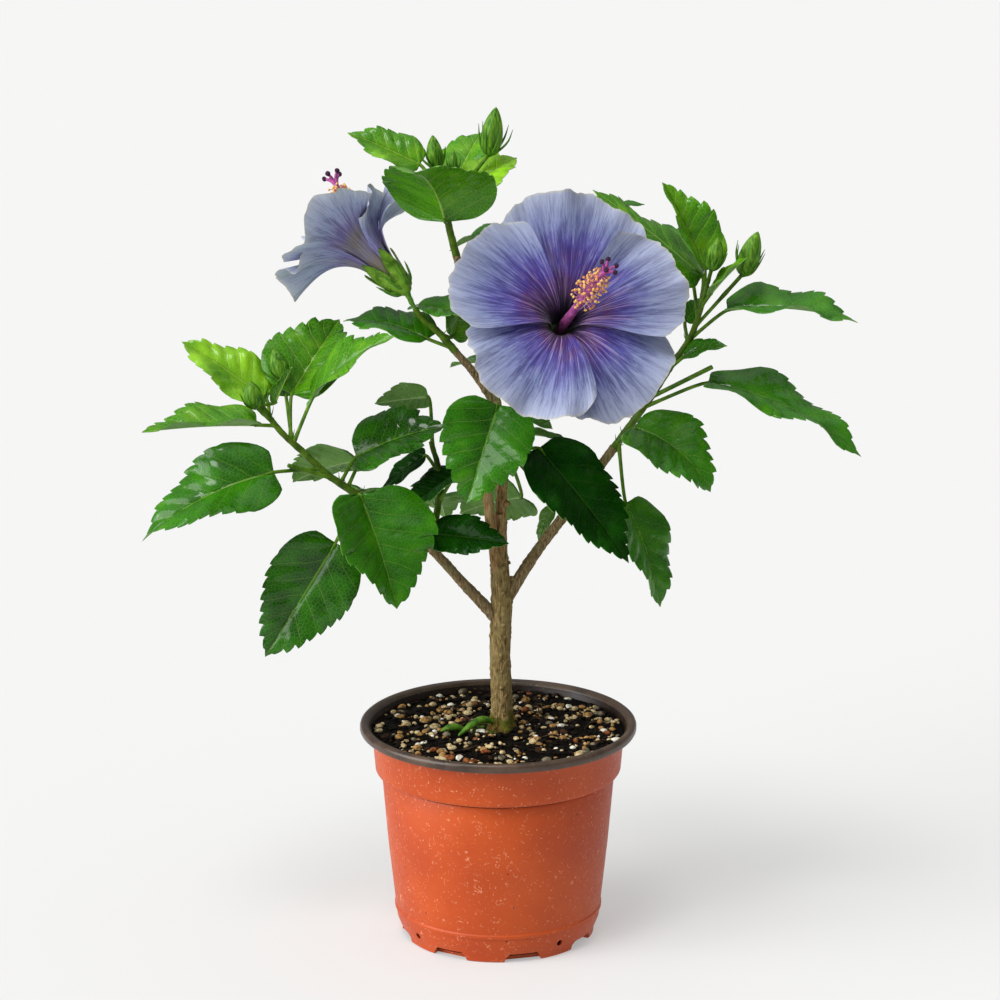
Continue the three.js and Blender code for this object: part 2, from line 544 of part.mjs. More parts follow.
// Each mass is one shoot, grown on from a bough's tip or a side of the leader,
// with its leaves, buds and bare leafstalks.  Rows are as in leafOn and budOn;
// 'sprig' adds leaves set two fifths of a turn apart between two headings, for
// the side that faces away: [ count, from, to, first, last, rise, length ].
const SHOOTS = {
	left_foliage: {
		stem: [ [ - 72, - 15, 249 ], [ - 91, - 14, 262 ], [ - 105, - 12, 275 ], [ - 115, - 10, 284 ], [ - 128, - 6, 301 ] ],
		leaves: [
			[ 0.02, [ 275, 18, 9 ], [ 308, - 60, 64 ], 62, - 10, 15, 12 ],
			[ 0.03, [ 205, - 62, 28 ], [ 195, - 57, 72 ], 48, - 75, 10, 12 ],
			[ 0.10, [ 77, 24, 24 ], [ 150, - 23, 46 ], 42, 30, 20, 10 ],
			[ 0.15, [ 61, 33, 20 ], [ 355, 20, 52 ], 42, 30, 30, 12 ],
			[ 0.30, [ 215, 5, 29 ], [ 194, - 25, 80 ], 44, - 28, 45, 12, 60 ],
			[ 0.58, [ 357, 67, 27 ], [ 334, 38, 63 ], 34, 30, 30, 15 ],
			[ 0.62, [ 90, 48, 28 ], [ 45, 45, 50 ], 50, 20, 10, 20 ],
			[ 0.80, [ 210, 9, 11 ], [ 195, 0, 62 ], 34, - 5, 10, 25 ],
			[ 0.86, [ 100, 21, 18 ], [ 165, 31, 55 ], 32, - 30, 10, 15 ],
			[ 0.95, [ 350, 13, 8 ], [ 336, 63, 23 ], 10, 0, 10, 40 ],
			[ 0.60, [ 100, 40, 30 ], [ 100, 5, 46 ], 30, 0, 30, 12 ],
			[ 0.05, [ 80, - 10, 18 ], [ 60, - 42, 52 ], 34, 0, 30, 12 ]
		],
		buds: [
			[ 0.80, [ 206, 44, 16 ], [ 221, 78, 15 ], 10.5 ],
			[ 0.97, [ 45, 26, 20 ], [ 159, 72, 18 ], 10.5 ]
		],
		stubs: [ [ 0.20, [ 208, 22, 28 ], 1.1 ] ]
	},
	right_foliage: {
		stem: [ [ 62, 10, 270 ], [ 81, 8, 298 ], [ 93, 5, 318 ], [ 102, 2, 333 ], [ 110, - 2, 361 ] ],
		leaves: [
			[ 0.02, [ 293, 32, 26 ], [ 336, - 35, 57 ], 42, 25, 75, 10 ],
			[ 0.03, [ 291, - 71, 33 ], [ 337, - 70, 60 ], 30, - 60, 25, 25 ],
			[ 0.20, [ 346, 24, 38 ], [ 349, - 24, 92 ], 38, 12, 40, 12 ],
			[ 0.45, [ 320, 40, 13 ], [ 337, 18, 26 ], 14, 30, 40, 15 ],
			[ 0.70, [ 92, 19, 21 ], [ 48, 42, 16 ], 12, 40, 10, 10 ],
			[ 0.72, [ 349, 40, 26 ], [ 353, - 4, 70 ], 34, 10, 30, 20 ],
			[ 0.85, [ 68, 73, 22 ], [ 171, 37, 74 ], 40, - 20, 10, - 15 ],
			[ 0.90, [ 67, 74, 19 ], [ 160, 62, 52 ], 35, - 25, 10, 35 ],
			[ 0.90, [ 302, 45, 12 ], [ 330, 46, 30 ], 16, 20, 10, 20 ],
			[ 0.85, [ 100, 50, 26 ], [ 110, 25, 46 ], 28, 0, 30, 12 ],
			[ 0.06, [ 60, 5, 20 ], [ 40, - 33, 50 ], 32, 0, 30, 12 ]
		],
		buds: [
			[ 0.92, [ 294, 63, 22 ], [ 332, 77, 18 ], 10.5 ],
			[ 0.80, [ 354, 49, 38 ], [ 345, 72, 25 ], 11.5 ]
		],
		stubs: [ [ 0.25, [ 337, 30, 40 ], 1.2 ] ]
	},
	top_foliage: {
		stem: [ [ - 22, 0, 377 ], [ - 26, - 2, 394 ], [ - 27, - 4, 407 ], [ - 24, - 4, 423 ] ],
		leaves: [
			[ 0.45, [ 265, - 9, 10 ], [ 232, 36, 58 ], 58, 20, 55, 30 ],
			[ 0.60, [ 8, 34, 14 ], [ 24, 28, 32 ], 30, 15, 20, 10 ],
			[ 0.70, [ 139, 39, 24 ], [ 170, 22, 42 ], 26, - 30, 10, 15 ],
			[ 0.75, [ 82, - 2, 24 ], [ 65, 34, 42 ], 34, 0, 20, 10 ],
			[ 0.40, [ 80, 10, 16 ], [ 80, - 8, 40 ], 26, 0, 30, 12 ]
		],
		buds: [
			[ 0.55, [ 18, 49, 36 ], [ 331, 81, 26 ], 11.5 ],
			[ 0.80, [ 114, 27, 17 ], [ 136, 81, 18 ], 9 ],
			[ 0.97, [ 86, - 11, 8 ], [ 0, 87, 12 ], 5 ]
		]
	},
	upper_left_foliage: {
		stem: [ [ - 23, 2, 325 ], [ - 32, 0, 336 ], [ - 41, 0, 344 ], [ - 44, 0, 348.5 ] ],
		leaves: [
			[ 0.04, [ 173, 20, 14 ], [ 147, 3, 56 ], 32, - 10, 35, 10 ],
			[ 0.30, [ 45, - 22, 10 ], [ 76, 40, 25 ], 20, 60, 20, 10 ],
			[ 0.60, [ 101, 8, 20 ], [ 323, - 4, 44 ], 28, 8, 25, 10 ]
		]
	},
	front_foliage: {
		stem: [ [ 1, 3, 256 ], [ 2, - 5, 266 ], [ 2, - 9, 281 ], [ 0, - 10, 297 ] ],
		leaves: [
			[ 0.98, [ 256, 64, 3 ], [ 235, - 59, 56 ], 50, - 32, 25, 15 ],
			[ 0.40, [ 0, 15, 20 ], [ 327, - 44, 79 ], 46, 20, 15, 8 ]
		]
	},
	inner_left_foliage: {
		stem: [ [ - 37, - 8, 220 ], [ - 33, 8, 234 ], [ - 31, 12, 252 ], [ - 36, 16, 272 ] ],
		leaves: [
			[ 0.12, [ 275, 20, 8 ], [ 338, - 1, 44 ], 26, 40, 10, 10 ],
			[ 0.45, [ 335, 60, 20 ], [ 200, - 34, 34 ], 34, 0, 10, 10 ],
			[ 0.70, [ 137, 41, 14 ], [ 162, - 40, 34 ], 20, - 30, 10, 10 ],
			[ 0.95, [ 109, 75, 27 ], [ 164, - 11, 31 ], 20, 60, 10, 10 ]
		],
		sprig: [ 1, 0.3, 0.5, 95, 150, - 30, 46 ]
	},
	back_foliage: {
		stem: [ [ 2, 5, 262 ], [ 8, 16, 270 ], [ 16, 30, 292 ], [ 24, 38, 330 ], [ 29, 42, 370 ], [ 32, 43, 386 ] ],
		leaves: [
			[ 0.10, [ 342, 82, 22 ], [ 325, - 7, 26 ], 20, 0, 10, 10 ],
			[ 0.12, [ 37, 31, 17 ], [ 15, - 15, 24 ], 18, 0, 10, 10 ],
			[ 0.12, [ 67, - 58, 34 ], [ 137, - 21, 50 ], 40, 50, 20, 10 ],
			[ 0.14, [ 38, - 50, 47 ], [ 203, - 67, 22 ], 16, 0, 10, 10 ],
			[ 0.96, [ 320, 35, 10 ], [ 7, 10, 42 ], 20, 0, 20, 10 ]
		],
		sprig: [ 9, 0.25, 0.96, 30, 185, - 8, 52 ]
	}
};

function sprigLeaves( [ count, from, to, first, last, rise, length ] ) {

	return Array.from( { length: count }, ( _, k ) => {

		const heading = lerp( first, last, ( 0.4 * k ) % 1 ), size = length * ( 1 - 0.13 * ( k % 3 ) );
		const at = lerp( from, to, ( k + 0.5 ) / count ), swing = k % 2 ? 12 : - 12;
		const blade = [ heading + swing, rise - 10 * ( k % 2 ), size ];
		return [ at, [ heading, rise + 30, 18 ], blade, 0.62 * size, 0, 35, 12 ];

	} );

}

function foliage( { stem, leaves, buds = [], stubs = [], sprig } ) {

	const parts = [ limb( stem, [ 2.1, 1.9, 1.7, 1.4 ], 5, 6 ) ];
	const rows = sprig ? [ ...leaves, ...sprigLeaves( sprig ) ] : leaves;
	for ( const row of rows ) parts.push( ...leafOn( stem, row ) );
	for ( const row of buds ) parts.push( ...budOn( stem, row ) );
	for ( const [ at, [ heading, rise, length ], r ] of stubs ) {

		const root = point( stem, at ), tip = root.clone().addScaledVector( toward( heading, rise ), length );
		parts.push( limb( list( [ root, tip ] ), [ r, r * 0.9 ], 4, 1 ) );

	}

	return fuse( parts ).subtract( limbRoom );

}

// The large bloom hangs from the leader's fork and looks forward; the other
// ends the upper left shoot and looks away to the left.
const BLOOMS = {
	front_bloom: {
		base: [ 31, - 15, 335 ], axis: [ 280, 30 ], turn: 89,
		open: [ 14, 86 ], bendFrom: 14, bendTo: 50, petal: 84, sizes: [ 1.05, 0.97, 0.96, 1, 1 ],
		reach: 62, lean: [ 55, 20 ], stalk: [ [ - 3, 6, 307 ], [ 8, 5, 318 ], [ 23, - 6, 329 ] ]
	},
	left_bloom: {
		base: [ - 48.5, 1, 358 ], axis: [ 144, 34 ], turn: 56,
		open: [ 14, 76 ], bendFrom: 16, bendTo: 60, petal: 71, sizes: [ 0.96, 1, 1.05, 1.1, 1.08 ],
		reach: 72, lean: [ 130, 15 ], stalk: [ [ - 44.3, 0, 349 ], [ - 46.5, 0.2, 353.5 ] ]
	}
};

// ---------------------------------------------------------------- the object

const plant = new THREE.Group();
plant.add( mesh( 'pot', potSolid, clay ) );
plant.add( mesh( 'potting_mix', mixSolid, peat ) );
for ( const [ name, shape ] of Object.entries( limbSolids ) ) {

	plant.add( mesh( name, shape, name === 'trunk' ? bark : greenBark ) );

}

for ( const [ name, shoot ] of Object.entries( SHOOTS ) ) {

	plant.add( mesh( name, foliage( shoot ), leafGreen ) );

}

for ( const [ name, flower ] of Object.entries( BLOOMS ) ) {

	plant.add( mesh( name, bloom( flower ).subtract( limbRoom ), petalBlue ) );

}


export default plant;
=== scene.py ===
# A young hibiscus shrub in flower, in a 15 cm nursery pot on a pale floor.
# Lengths are in millimetres and headings in degrees from +X toward +Y; a
# finished piece is turned to metres as the last thing that is done to it.

import math
import random

import bmesh
import bpy
from mathutils import Matrix, Vector, noise


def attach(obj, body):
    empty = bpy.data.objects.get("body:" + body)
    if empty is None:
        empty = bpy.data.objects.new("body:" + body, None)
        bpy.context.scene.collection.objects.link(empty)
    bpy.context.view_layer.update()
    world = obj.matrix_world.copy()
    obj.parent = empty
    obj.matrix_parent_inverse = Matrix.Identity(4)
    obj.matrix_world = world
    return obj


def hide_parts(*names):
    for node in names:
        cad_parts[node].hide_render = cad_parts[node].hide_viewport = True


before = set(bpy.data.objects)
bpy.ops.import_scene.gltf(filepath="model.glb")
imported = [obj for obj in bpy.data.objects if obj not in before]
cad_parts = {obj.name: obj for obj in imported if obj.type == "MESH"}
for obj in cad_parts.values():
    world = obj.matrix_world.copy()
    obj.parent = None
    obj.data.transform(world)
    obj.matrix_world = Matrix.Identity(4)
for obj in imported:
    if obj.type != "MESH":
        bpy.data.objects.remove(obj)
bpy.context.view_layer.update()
scene = bpy.context.scene


# ---------------------------------------------------------------- camera
# A short telephoto two metres off, a little above the crown and tipped down
# so that the soil shows inside the rim.

LENS, SENSOR = 139.7, 36
STAND = (0.001, -2.0, 0.789)  # metres
TIPPED = 15.25  # degrees below level

camera = bpy.data.objects.new("camera", bpy.data.cameras.new("camera"))
camera.data.lens, camera.data.sensor_width = LENS, SENSOR
camera.location = STAND
camera.rotation_euler = (math.radians(90 - TIPPED), 0, 0)
scene.collection.objects.link(camera)
scene.camera = camera


# ---------------------------------------------------------------- nursery pot
# A thin-walled thermoformed pot: terracotta polypropylene outside, the lip and
# the inside in dark brown. Drain notches are punched round the foot, and the
# wall is scuffed and speckled from the potting bench.

MM = 0.001
MIX = "ShaderNodeMixRGB"
RAMP = "ShaderNodeValToRGB"
NOISE = "ShaderNodeTexNoise"
CELLS = "ShaderNodeTexVoronoi"
BUMP = "ShaderNodeBump"
SHIFT = "ShaderNodeMapping"
SPLIT = "ShaderNodeSeparateXYZ"
MARK = "ShaderNodeAttribute"
SUMS = ("ADD", "SUBTRACT", "MULTIPLY", "MULTIPLY_ADD", "DIVIDE", "POWER", "ABSOLUTE",
        "MAXIMUM", "PINGPONG")


def hue(code):
    """An sRGB hex colour as linear red, green, blue and alpha."""
    parts = [int(code[k : k + 2], 16) / 255 for k in (1, 3, 5)]
    return [
        c / 12.92 if c <= 0.04045 else ((c + 0.055) / 1.055) ** 2.4 for c in parts
    ] + [1]


def add(tree, kind, inputs=(), stops=(), out=0, **settings):
    """A node, new or at hand, set and linked; one of SUMS goes by its own name."""
    if kind in SUMS:
        kind, settings = "ShaderNodeMath", {"operation": kind}
    node = tree.nodes.new(kind) if isinstance(kind, str) else kind
    for key, value in settings.items():
        setattr(node, key, value)
    for key, value in inputs.items() if isinstance(inputs, dict) else enumerate(inputs):
        if isinstance(value, bpy.types.NodeSocket):
            tree.links.new(value, node.inputs[key])
        else:
            value = hue(value) if isinstance(value, str) else value
            node.inputs[key].default_value = value
    if stops:
        bar = node.color_ramp.elements
        while len(bar) < len(stops):
            bar.new(1)
        for stop, (at, tone) in zip(bar, stops):
            stop.position = at
            stop.color = hue(tone) if isinstance(tone, str) else [tone] * 3 + [1]
    return node.outputs[out]


def new_finish(name):
    """A material with its tree, and the place on the piece in mm."""
    material = bpy.data.materials.new(name)
    material.use_nodes = True
    tree = material.node_tree
    coords = add(tree, "ShaderNodeTexCoord", out="Object")
    return material, tree, add(tree, SHIFT, {"Vector": coords, "Scale": [1 / MM] * 3})


def mottle(tree, place, size, stops, detail=3, kind=NOISE, **more):
    """A pattern in patches of a size in mm: as it is, and turned to tones."""
    bare = add(tree, kind, {"Vector": place, "Scale": 1 / size, "Detail": detail, **more})
    return bare, add(tree, RAMP, [bare], stops)


def tint(tree, base, colour, first, *masks):
    """A colour laid over the base as strongly as all the masks together let it."""
    for mask in masks:
        first = add(tree, "MULTIPLY", (first, mask))
    return add(tree, MIX, (first, base, colour))


def surface(tree, base, rough, height, depth, strength, shine=0.5, more=()):
    """Gives the shader its colour, roughness, shine, and relief of a depth in mm."""
    relief = add(tree, BUMP, {"Height": height, "Distance": depth * MM,
                              "Strength": strength})
    add(tree, tree.nodes["Principled BSDF"],
        {"Base Color": base, "Roughness": rough, "Normal": relief,
         "Specular IOR Level": shine, **dict(more)})


def finish_piece(name, bm, materials, slot, *nodes, sharp=50):
    """Turns a mesh in mm to a finished piece that stands for CAD nodes."""
    bmesh.ops.scale(bm, vec=(MM, MM, MM), verts=bm.verts)
    mesh = bpy.data.meshes.new(name)
    bm.to_mesh(mesh)
    bm.free()
    for material in materials:
        mesh.materials.append(material)
    mesh.shade_smooth()
    mesh.set_sharp_from_angle(angle=math.radians(sharp))
    piece = bpy.data.objects.new(name, mesh)
    scene.collection.objects.link(piece)
    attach(piece, "root")
    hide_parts(*nodes)


def turned(profile, steps):
    """A closed body turned round the upright axis from half of its outline."""
    body = bmesh.new()
    line = [body.verts.new((r, 0, z)) for r, z in profile]
    for a, b in zip(line, line[1:]):
        body.edges.new((a, b))
    bmesh.ops.spin(
        body, geom=body.verts[:] + body.edges[:], cent=(0, 0, 0), axis=(0, 0, 1),
        angle=2 * math.pi, steps=steps, use_merge=True,
    )
    bmesh.ops.remove_doubles(body, verts=body.verts, dist=0.001)
    bmesh.ops.recalc_face_normals(body, faces=body.faces)
    return body


POT_STEPS = 144
POT_WALL = [
    # outside, foot to lip, with the mould lines over the foot and the band
    (0, 0), (51.6, 0), (52.5, 0.7), (52.6, 3), (55.4, 10), (56.0, 14.6),
    (56.6, 14.9), (56.7, 16.4), (56.2, 17.2),
    (60.0, 52), (63.2, 90.6), (62.6, 91.8), (63.8, 92.9), (66.2, 93.4), (66.7, 94.3),
    (66.8, 95.6), (67.6, 105), (68.3, 113.6), (69.0, 114.8),
    # the rolled lip
    (73.0, 114.8), (74.4, 115.2), (75.0, 116.3), (75.0, 117.9), (74.6, 119.1),
    (73.8, 119.8), (72.8, 120), (71.6, 119.8), (70.5, 119.0), (69.6, 117.6),
    # inside, lip to floor
    (68.6, 115.6), (67.5, 111.5), (65.8, 97.5), (63.2, 93), (62.2, 90.4),
    (53.9, 10), (50.8, 2), (0, 2),
]
LIP_FROM = 114.1  # level where the dark brown starts
LIP_WITHIN = 69.3  # radius where the lip, painted paler as lit, meets the dark inside
NOTCHES = 8
NOTCH_SHAPE = [(-11, -2), (11, -2), (9.7, 2.2), (7.6, 5), (-7.6, 5), (-9.7, 2.2)]
NOTCH_FROM, NOTCH_DEPTH = 47, 12  # out from the pot's axis
HOLE_R, HOLE_DEPTH = 1.8, 14  # the small drain holes between notches
HOLE_AT = (54, 0, 8)
OUTSIDE, INSIDE, LIP = range(3)

pot = turned(POT_WALL, POT_STEPS)
for vert in pot.verts:  # thin plastic is never quite round
    if vert.co.z > 4:
        swell = noise.noise(Vector((vert.co.x / 60, vert.co.y / 60, vert.co.z / 90)))
        vert.co.xy *= 1 + 0.0035 * swell

punch = bmesh.new()
for k in range(NOTCHES):
    corners = [punch.verts.new((NOTCH_FROM, y, z)) for y, z in NOTCH_SHAPE]
    blade_end = punch.faces.new(corners)
    raised = bmesh.ops.extrude_face_region(punch, geom=[blade_end])["geom"]
    moved = [v for v in raised if isinstance(v, bmesh.types.BMVert)]
    bmesh.ops.translate(punch, vec=(NOTCH_DEPTH, 0, 0), verts=moved)
    heading = math.radians(-75 + 360 / NOTCHES * k)
    bmesh.ops.rotate(punch, cent=(0, 0, 0), matrix=Matrix.Rotation(heading, 3, "Z"),
                     verts=corners + moved)
    if k % 2 == 0:
        hole = bmesh.ops.create_cone(punch, cap_ends=True, segments=16, radius1=HOLE_R,
                                     radius2=HOLE_R, depth=HOLE_DEPTH)["verts"]
        turn = Matrix.Rotation(heading + math.radians(180 / NOTCHES), 4, "Z")
        turn = turn @ Matrix.Translation(HOLE_AT)
        turn = turn @ Matrix.Rotation(math.pi / 2, 4, "Y")
        bmesh.ops.transform(punch, matrix=turn, verts=hole)
bmesh.ops.recalc_face_normals(punch, faces=punch.faces)

blank, cutter = (bpy.data.meshes.new(n) for n in ("pot_blank", "pot_punch"))
pot.to_mesh(blank)
punch.to_mesh(cutter)
pot.free()
punch.free()
blank, cutter = (bpy.data.objects.new(m.name, m) for m in (blank, cutter))
for thing in (blank, cutter):
    scene.collection.objects.link(thing)
cut = blank.modifiers.new("punch", "BOOLEAN")
cut.object, cut.operation, cut.solver = cutter, "DIFFERENCE", "EXACT"
pot = bmesh.new()
pot.from_object(blank, bpy.context.evaluated_depsgraph_get())
for thing in (blank, cutter):
    bpy.data.objects.remove(thing)
bmesh.ops.remove_doubles(pot, verts=pot.verts, dist=0.01)
for face in pot.faces:
    middle, normal = face.calc_center_median(), face.normal
    inward = middle.z > 9 and middle.xy.dot(normal.xy) < 0
    floor = 1.5 < middle.z < 4 and normal.z > 0.9
    dark = middle.z > LIP_FROM or inward or floor
    face.material_index = INSIDE if dark else OUTSIDE
    # the lip gets a paler copy of the brown plastic: painted light, not wear
    if dark and middle.xy.length > LIP_WITHIN:
        face.material_index = LIP

# moulded polypropylene: an even satin, scuffed pale where it has been handled
terracotta, tree, place = new_finish("terracotta_polypropylene")
_, base = mottle(tree, place, 45, [(0.3, "#a93c0a"), (0.7, "#be4c10")])
# pale specks where grit has struck it, and short curved scratches
_, dots = mottle(tree, place, 2.6, [(0.12, 1), (0.22, 0)], 0, CELLS)
_, patch = mottle(tree, place, 7, [(0.44, 0), (0.58, 1)])
dots = add(tree, "MULTIPLY", (dots, patch))
curl = add(tree, NOISE, {"Vector": place, "Scale": 1 / 6, "Detail": 1, "Distortion": 1})
curl = add(tree, "SUBTRACT", (curl, 0.5))
curl = add(tree, "ABSOLUTE", [curl])
curl = add(tree, RAMP, [curl], [(0.006, 1), (0.016, 0)])
fine, part = mottle(tree, place, 3, [(0.53, 0), (0.60, 1)], 2)
curl = add(tree, "MULTIPLY", (curl, part))
worn = add(tree, "MAXIMUM", (dots, curl))
worn = add(tree, "MULTIPLY", (worn, 0.5))
base = tint(tree, base, "#e8a07c", worn)
# crumbs of damp mix stuck to the wall
_, crumbs = mottle(tree, place, 4.5, [(0.09, 1), (0.14, 0)], 0, CELLS)
_, where = mottle(tree, place, 19, [(0.60, 0), (0.66, 1)], 2)
base = tint(tree, base, "#2c150c", crumbs, where)
gloss = add(tree, RAMP, [fine], [(0.3, 0.38), (0.7, 0.55)])
ripple = add(tree, NOISE, {"Vector": place, "Scale": 1 / 9, "Detail": 2})
ripple = add(tree, "ADD", (ripple, worn))
surface(tree, base, gloss, ripple, 0.3, 0.35, 0.36, {"IOR": 1.49})


def brown_plastic(name, dark, light, shine):
    """The same plastic in brown-black, with dust caught in its grain."""
    material, tree, place = new_finish(name)
    drift, base = mottle(tree, place, 14, [(0.3, dark), (0.75, light)], 4)
    _, dust = mottle(tree, place, 1.6, [(0.62, 0), (0.72, 0.35)])
    base = tint(tree, base, "#8a7866", dust)
    gloss = add(tree, RAMP, [drift], [(0.3, 0.3), (0.7, 0.42)])
    surface(tree, base, gloss, drift, 0.4, 0.3, shine, {"IOR": 1.49})
    return material


# the shaded inside, and the rolled lip, painted paler than the same plastic inside as a
# painted highlight
inside = brown_plastic("brown_polypropylene", "#170d08", "#2c1e17", 0.2)
lip_painted_lit = brown_plastic("lip_painted_lit", "#2f2016", "#574333", 0.5)
finish_piece("nursery_pot", pot, [terracotta, inside, lip_painted_lit], "pot_plastic", "pot",
             sharp=34)


# ---------------------------------------------------------------- potting mix
# A peat and bark mix, nearly black when damp, top-dressed with pale grit:
# cream, tan, white and rusty grains of 2 to 5 mm, pressed in by watering.

MIX_EDGE, MIX_LEVEL = 68.0, 114.5
MIX_PROFILE = [
    (0, 3.2), (50.3, 3.2), (53.0, 10), (60.7, 90), (62.2, 93.6), (65.2, 98),
    (67.2, 111.9), (MIX_EDGE, 114.2),
]
MIX_PROFILE += [(MIX_EDGE - 1.32 * k, MIX_LEVEL) for k in range(1, 51)] + [(0, 115)]
# grains, the room between them, and their shortest and longest
GRIT = ((240, 4.0, 2.8, 5.2), (380, 2.3, 1.4, 2.6))
GRIT_SHARES = (44, 29, 9, 6, 12)  # cream, tan, white, rusty, grey
CHIPS, BROWN_SHARE = 900, 0.12
MOSS_TUFTS = 60
DARK, BROWN, MOSS = range(3)
TRIES = 14  # for each grain that is wanted


def mix_level(x, y):
    """Level of the mix's surface, heaped a little toward the trunk."""
    r = math.hypot(x, y)
    heap = MIX_LEVEL + 1.2 * max(0, 1 - r / 67) ** 0.8
    lumps = 1.5 * noise.noise(Vector((x / 11, y / 11, 0)))
    crumbs = 0.9 * noise.noise(Vector((x / 3.4, y / 3.4, 7)))
    return heap + (lumps + crumbs) * min(1, max(MIX_EDGE - r, 0) / 3)


soil = turned(MIX_PROFILE, 180)
for vert in soil.verts:
    if vert.co.z > LIP_FROM:
        vert.co.z = mix_level(vert.co.x, vert.co.y)

draw = random.Random(11)


def scatter(count, apart, inner=8.5, outer=66.6, clumped=0):
    """Places on the mix no closer to each other than 'apart', with a size."""
    taken = []
    for _ in range(count * TRIES):
        r = math.sqrt(draw.uniform(inner**2, outer**2))
        a = draw.uniform(0, 2 * math.pi)
        size = draw.uniform(0.62, 1)
        spot = Vector((r * math.cos(a) + 2 * (r < 30), r * math.sin(a)))
        strewn = noise.noise(Vector((spot.x / 13, spot.y / 13, 4)))
        if strewn < clumped - 0.5 + draw.uniform(-0.12, 0.12):
            continue
        if all((spot - other).length >= apart * (size + past) / 2
               for other, past in taken):
            taken.append((spot, size))
        if len(taken) == count:
            break
    return taken


def lump(bm, radius, fine, swell, ripple, seed, matrix, material):
    """A small ball made uneven by noise, then stretched and set in its place."""
    made = bmesh.ops.create_icosphere(bm, subdivisions=fine, radius=radius)["verts"]
    for vert in made:
        vert.co *= 1 + swell * noise.noise(vert.co * ripple + seed)
    bmesh.ops.transform(bm, matrix=matrix, verts=made)
    for face in {f for v in made for f in v.link_faces}:
        face.material_index = material


def grain(bm, x, y, size, flat, long, sink, fine, material):
    """One rounded grain, crumb or chip, pressed into the mix."""
    seed = Vector((x, y, draw.uniform(0, 9)))
    turn = Matrix.Rotation(draw.uniform(0, 6.3), 4, "Z")
    turn = turn @ Matrix.Rotation(draw.uniform(-0.5, 0.5), 4, "X")
    at = Matrix.Translation((x, y, mix_level(x, y) + size * flat * (0.5 - sink)))
    stretch = Matrix.Diagonal((long, 1, flat, 1))
    lump(bm, size / 2, fine, 0.34, 1.5 / size, seed, at @ turn @ stretch, material)


grit = bmesh.new()
for count, apart, shortest, longest in GRIT:
    for spot, size in scatter(count, apart, clumped=0.45):
        shade = draw.choices(range(5), GRIT_SHARES)[0]
        grain(grit, *spot, draw.uniform(shortest, longest) * size,
              draw.uniform(0.6, 0.85), draw.uniform(1, 1.6), draw.uniform(0.1, 0.35), 2,
              shade)
chips = bmesh.new()
for spot, size in scatter(CHIPS, 2.4, 7.5, 66):
    grain(chips, *spot, draw.uniform(2.0, 4.6) * size, draw.uniform(0.35, 0.6),
          draw.uniform(1.2, 2.6), draw.uniform(0.1, 0.4), 1,
          BROWN if draw.random() < BROWN_SHARE else DARK)
for _ in range(MOSS_TUFTS):  # crept over the crumbs beside the trunk
    way, far = draw.uniform(2.2, 4.4), draw.uniform(7.5, 19)
    grain(chips, 2 + far * math.cos(way), far * math.sin(way), draw.uniform(1.4, 2.8),
          draw.uniform(0.4, 0.7), draw.uniform(1, 1.7), 0.2, 1, MOSS)

# damp peat: almost black and crumbly, with hardly a glint
peat, tree, place = new_finish("damp_peat")
crumbs, base = mottle(tree, place, 1.6, [(0.35, "#040302"), (0.62, "#120d08"),
                                         (0.8, "#2e2116")], 6, Roughness=0.7)
gloss = add(tree, RAMP, [crumbs], [(0.4, 0.55), (0.7, 0.9)])
surface(tree, base, gloss, crumbs, 1.6, 0.9, 0.05)


def mineral(name, dark, light):
    """A dull grain with fine pits and faint staining."""
    material, tree, place = new_finish(name)
    _, base = mottle(tree, place, 1.8, [(0.34, dark), (0.58, light)], 5)
    pits = add(tree, NOISE, {"Vector": place, "Scale": 1 / 0.4, "Detail": 2})
    surface(tree, base, 0.7, pits, 0.2, 0.6, 0.08)
    return material


# the grits in the order of their shares
grits = [
    mineral("cream_grit", "#8a7149", "#cfbb90"),
    mineral("tan_grit", "#604323", "#ab8450"),
    mineral("white_perlite", "#a9a08e", "#f0ebdd"),
    mineral("rusty_grit", "#4a2412", "#8f5630"),
    mineral("grey_grit", "#3d372c", "#7f745f"),
]
chip_barks = [
    mineral("bark_chips", "#040302", "#15100b"),
    mineral("brown_bark_chips", "#120a06", "#3a2617"),
    mineral("moss", "#16210a", "#40561a"),
]
finish_piece("potting_mix", soil, [peat], "potting_mix", "potting_mix", sharp=80)
finish_piece("surface_grit", grit, grits, "potting_mix", "potting_mix", sharp=70)
finish_piece("bark_bits", chips, chip_barks, "potting_mix", "potting_mix", sharp=30)


# ---------------------------------------------------------------- trunk and boughs
# The old wood: a tan-grey trunk, finely fissured, flared at the soil, with a
# redder leader and a pruned stub over the fork, and slimmer green-brown boughs.

TRUNK = [(2, 0, 111), (2, 0, 119), (2, 0, 131), (1, 0, 160), (2, 0, 188),
         (1, 0, 205), (1.4, 1, 227), (2, 3, 254), (2, 5, 276), (-1, 6, 297)]
TRUNK_RADII = [8.6, 6.3, 5.6, 5.5, 5.7, 4.9, 3.1, 2.6, 2.6, 2.6]
STUB = [(0, -1, 205), (-2.6, -3, 222), (-4.6, -5, 238), (-6.4, -6, 259)]
STUB_RADII = [3.6, 3.0, 2.7, 2.6]
BOUGHS = {
    "left_bough": ([(-1, 0, 178), (-20, -4, 200), (-36, -8, 219), (-55, -12, 235),
                    (-72, -15, 249)], [3.4, 2.7, 2.4, 2.3, 2.2]),
    "right_bough": ([(4, 0, 188), (20, 4, 213), (34, 8, 231), (49, 10, 252),
                     (62, 10, 270)], [3.6, 2.9, 2.7, 2.5, 2.4]),
    "upper_left_bough": ([(-1, 6, 294), (-14, 4, 314), (-23, 2, 325)],
                         [2.2, 2.0, 1.9]),
    "top_bough": ([(-1, 6, 295), (-6, 6, 325), (-15, 4, 352), (-22, 0, 377)],
                  [2.4, 2.2, 2.1, 2.0]),
}
OLD, YOUNG, MOSSED = range(3)
GROUND = 111  # level where the trunk is cut flat
SPURS = 16
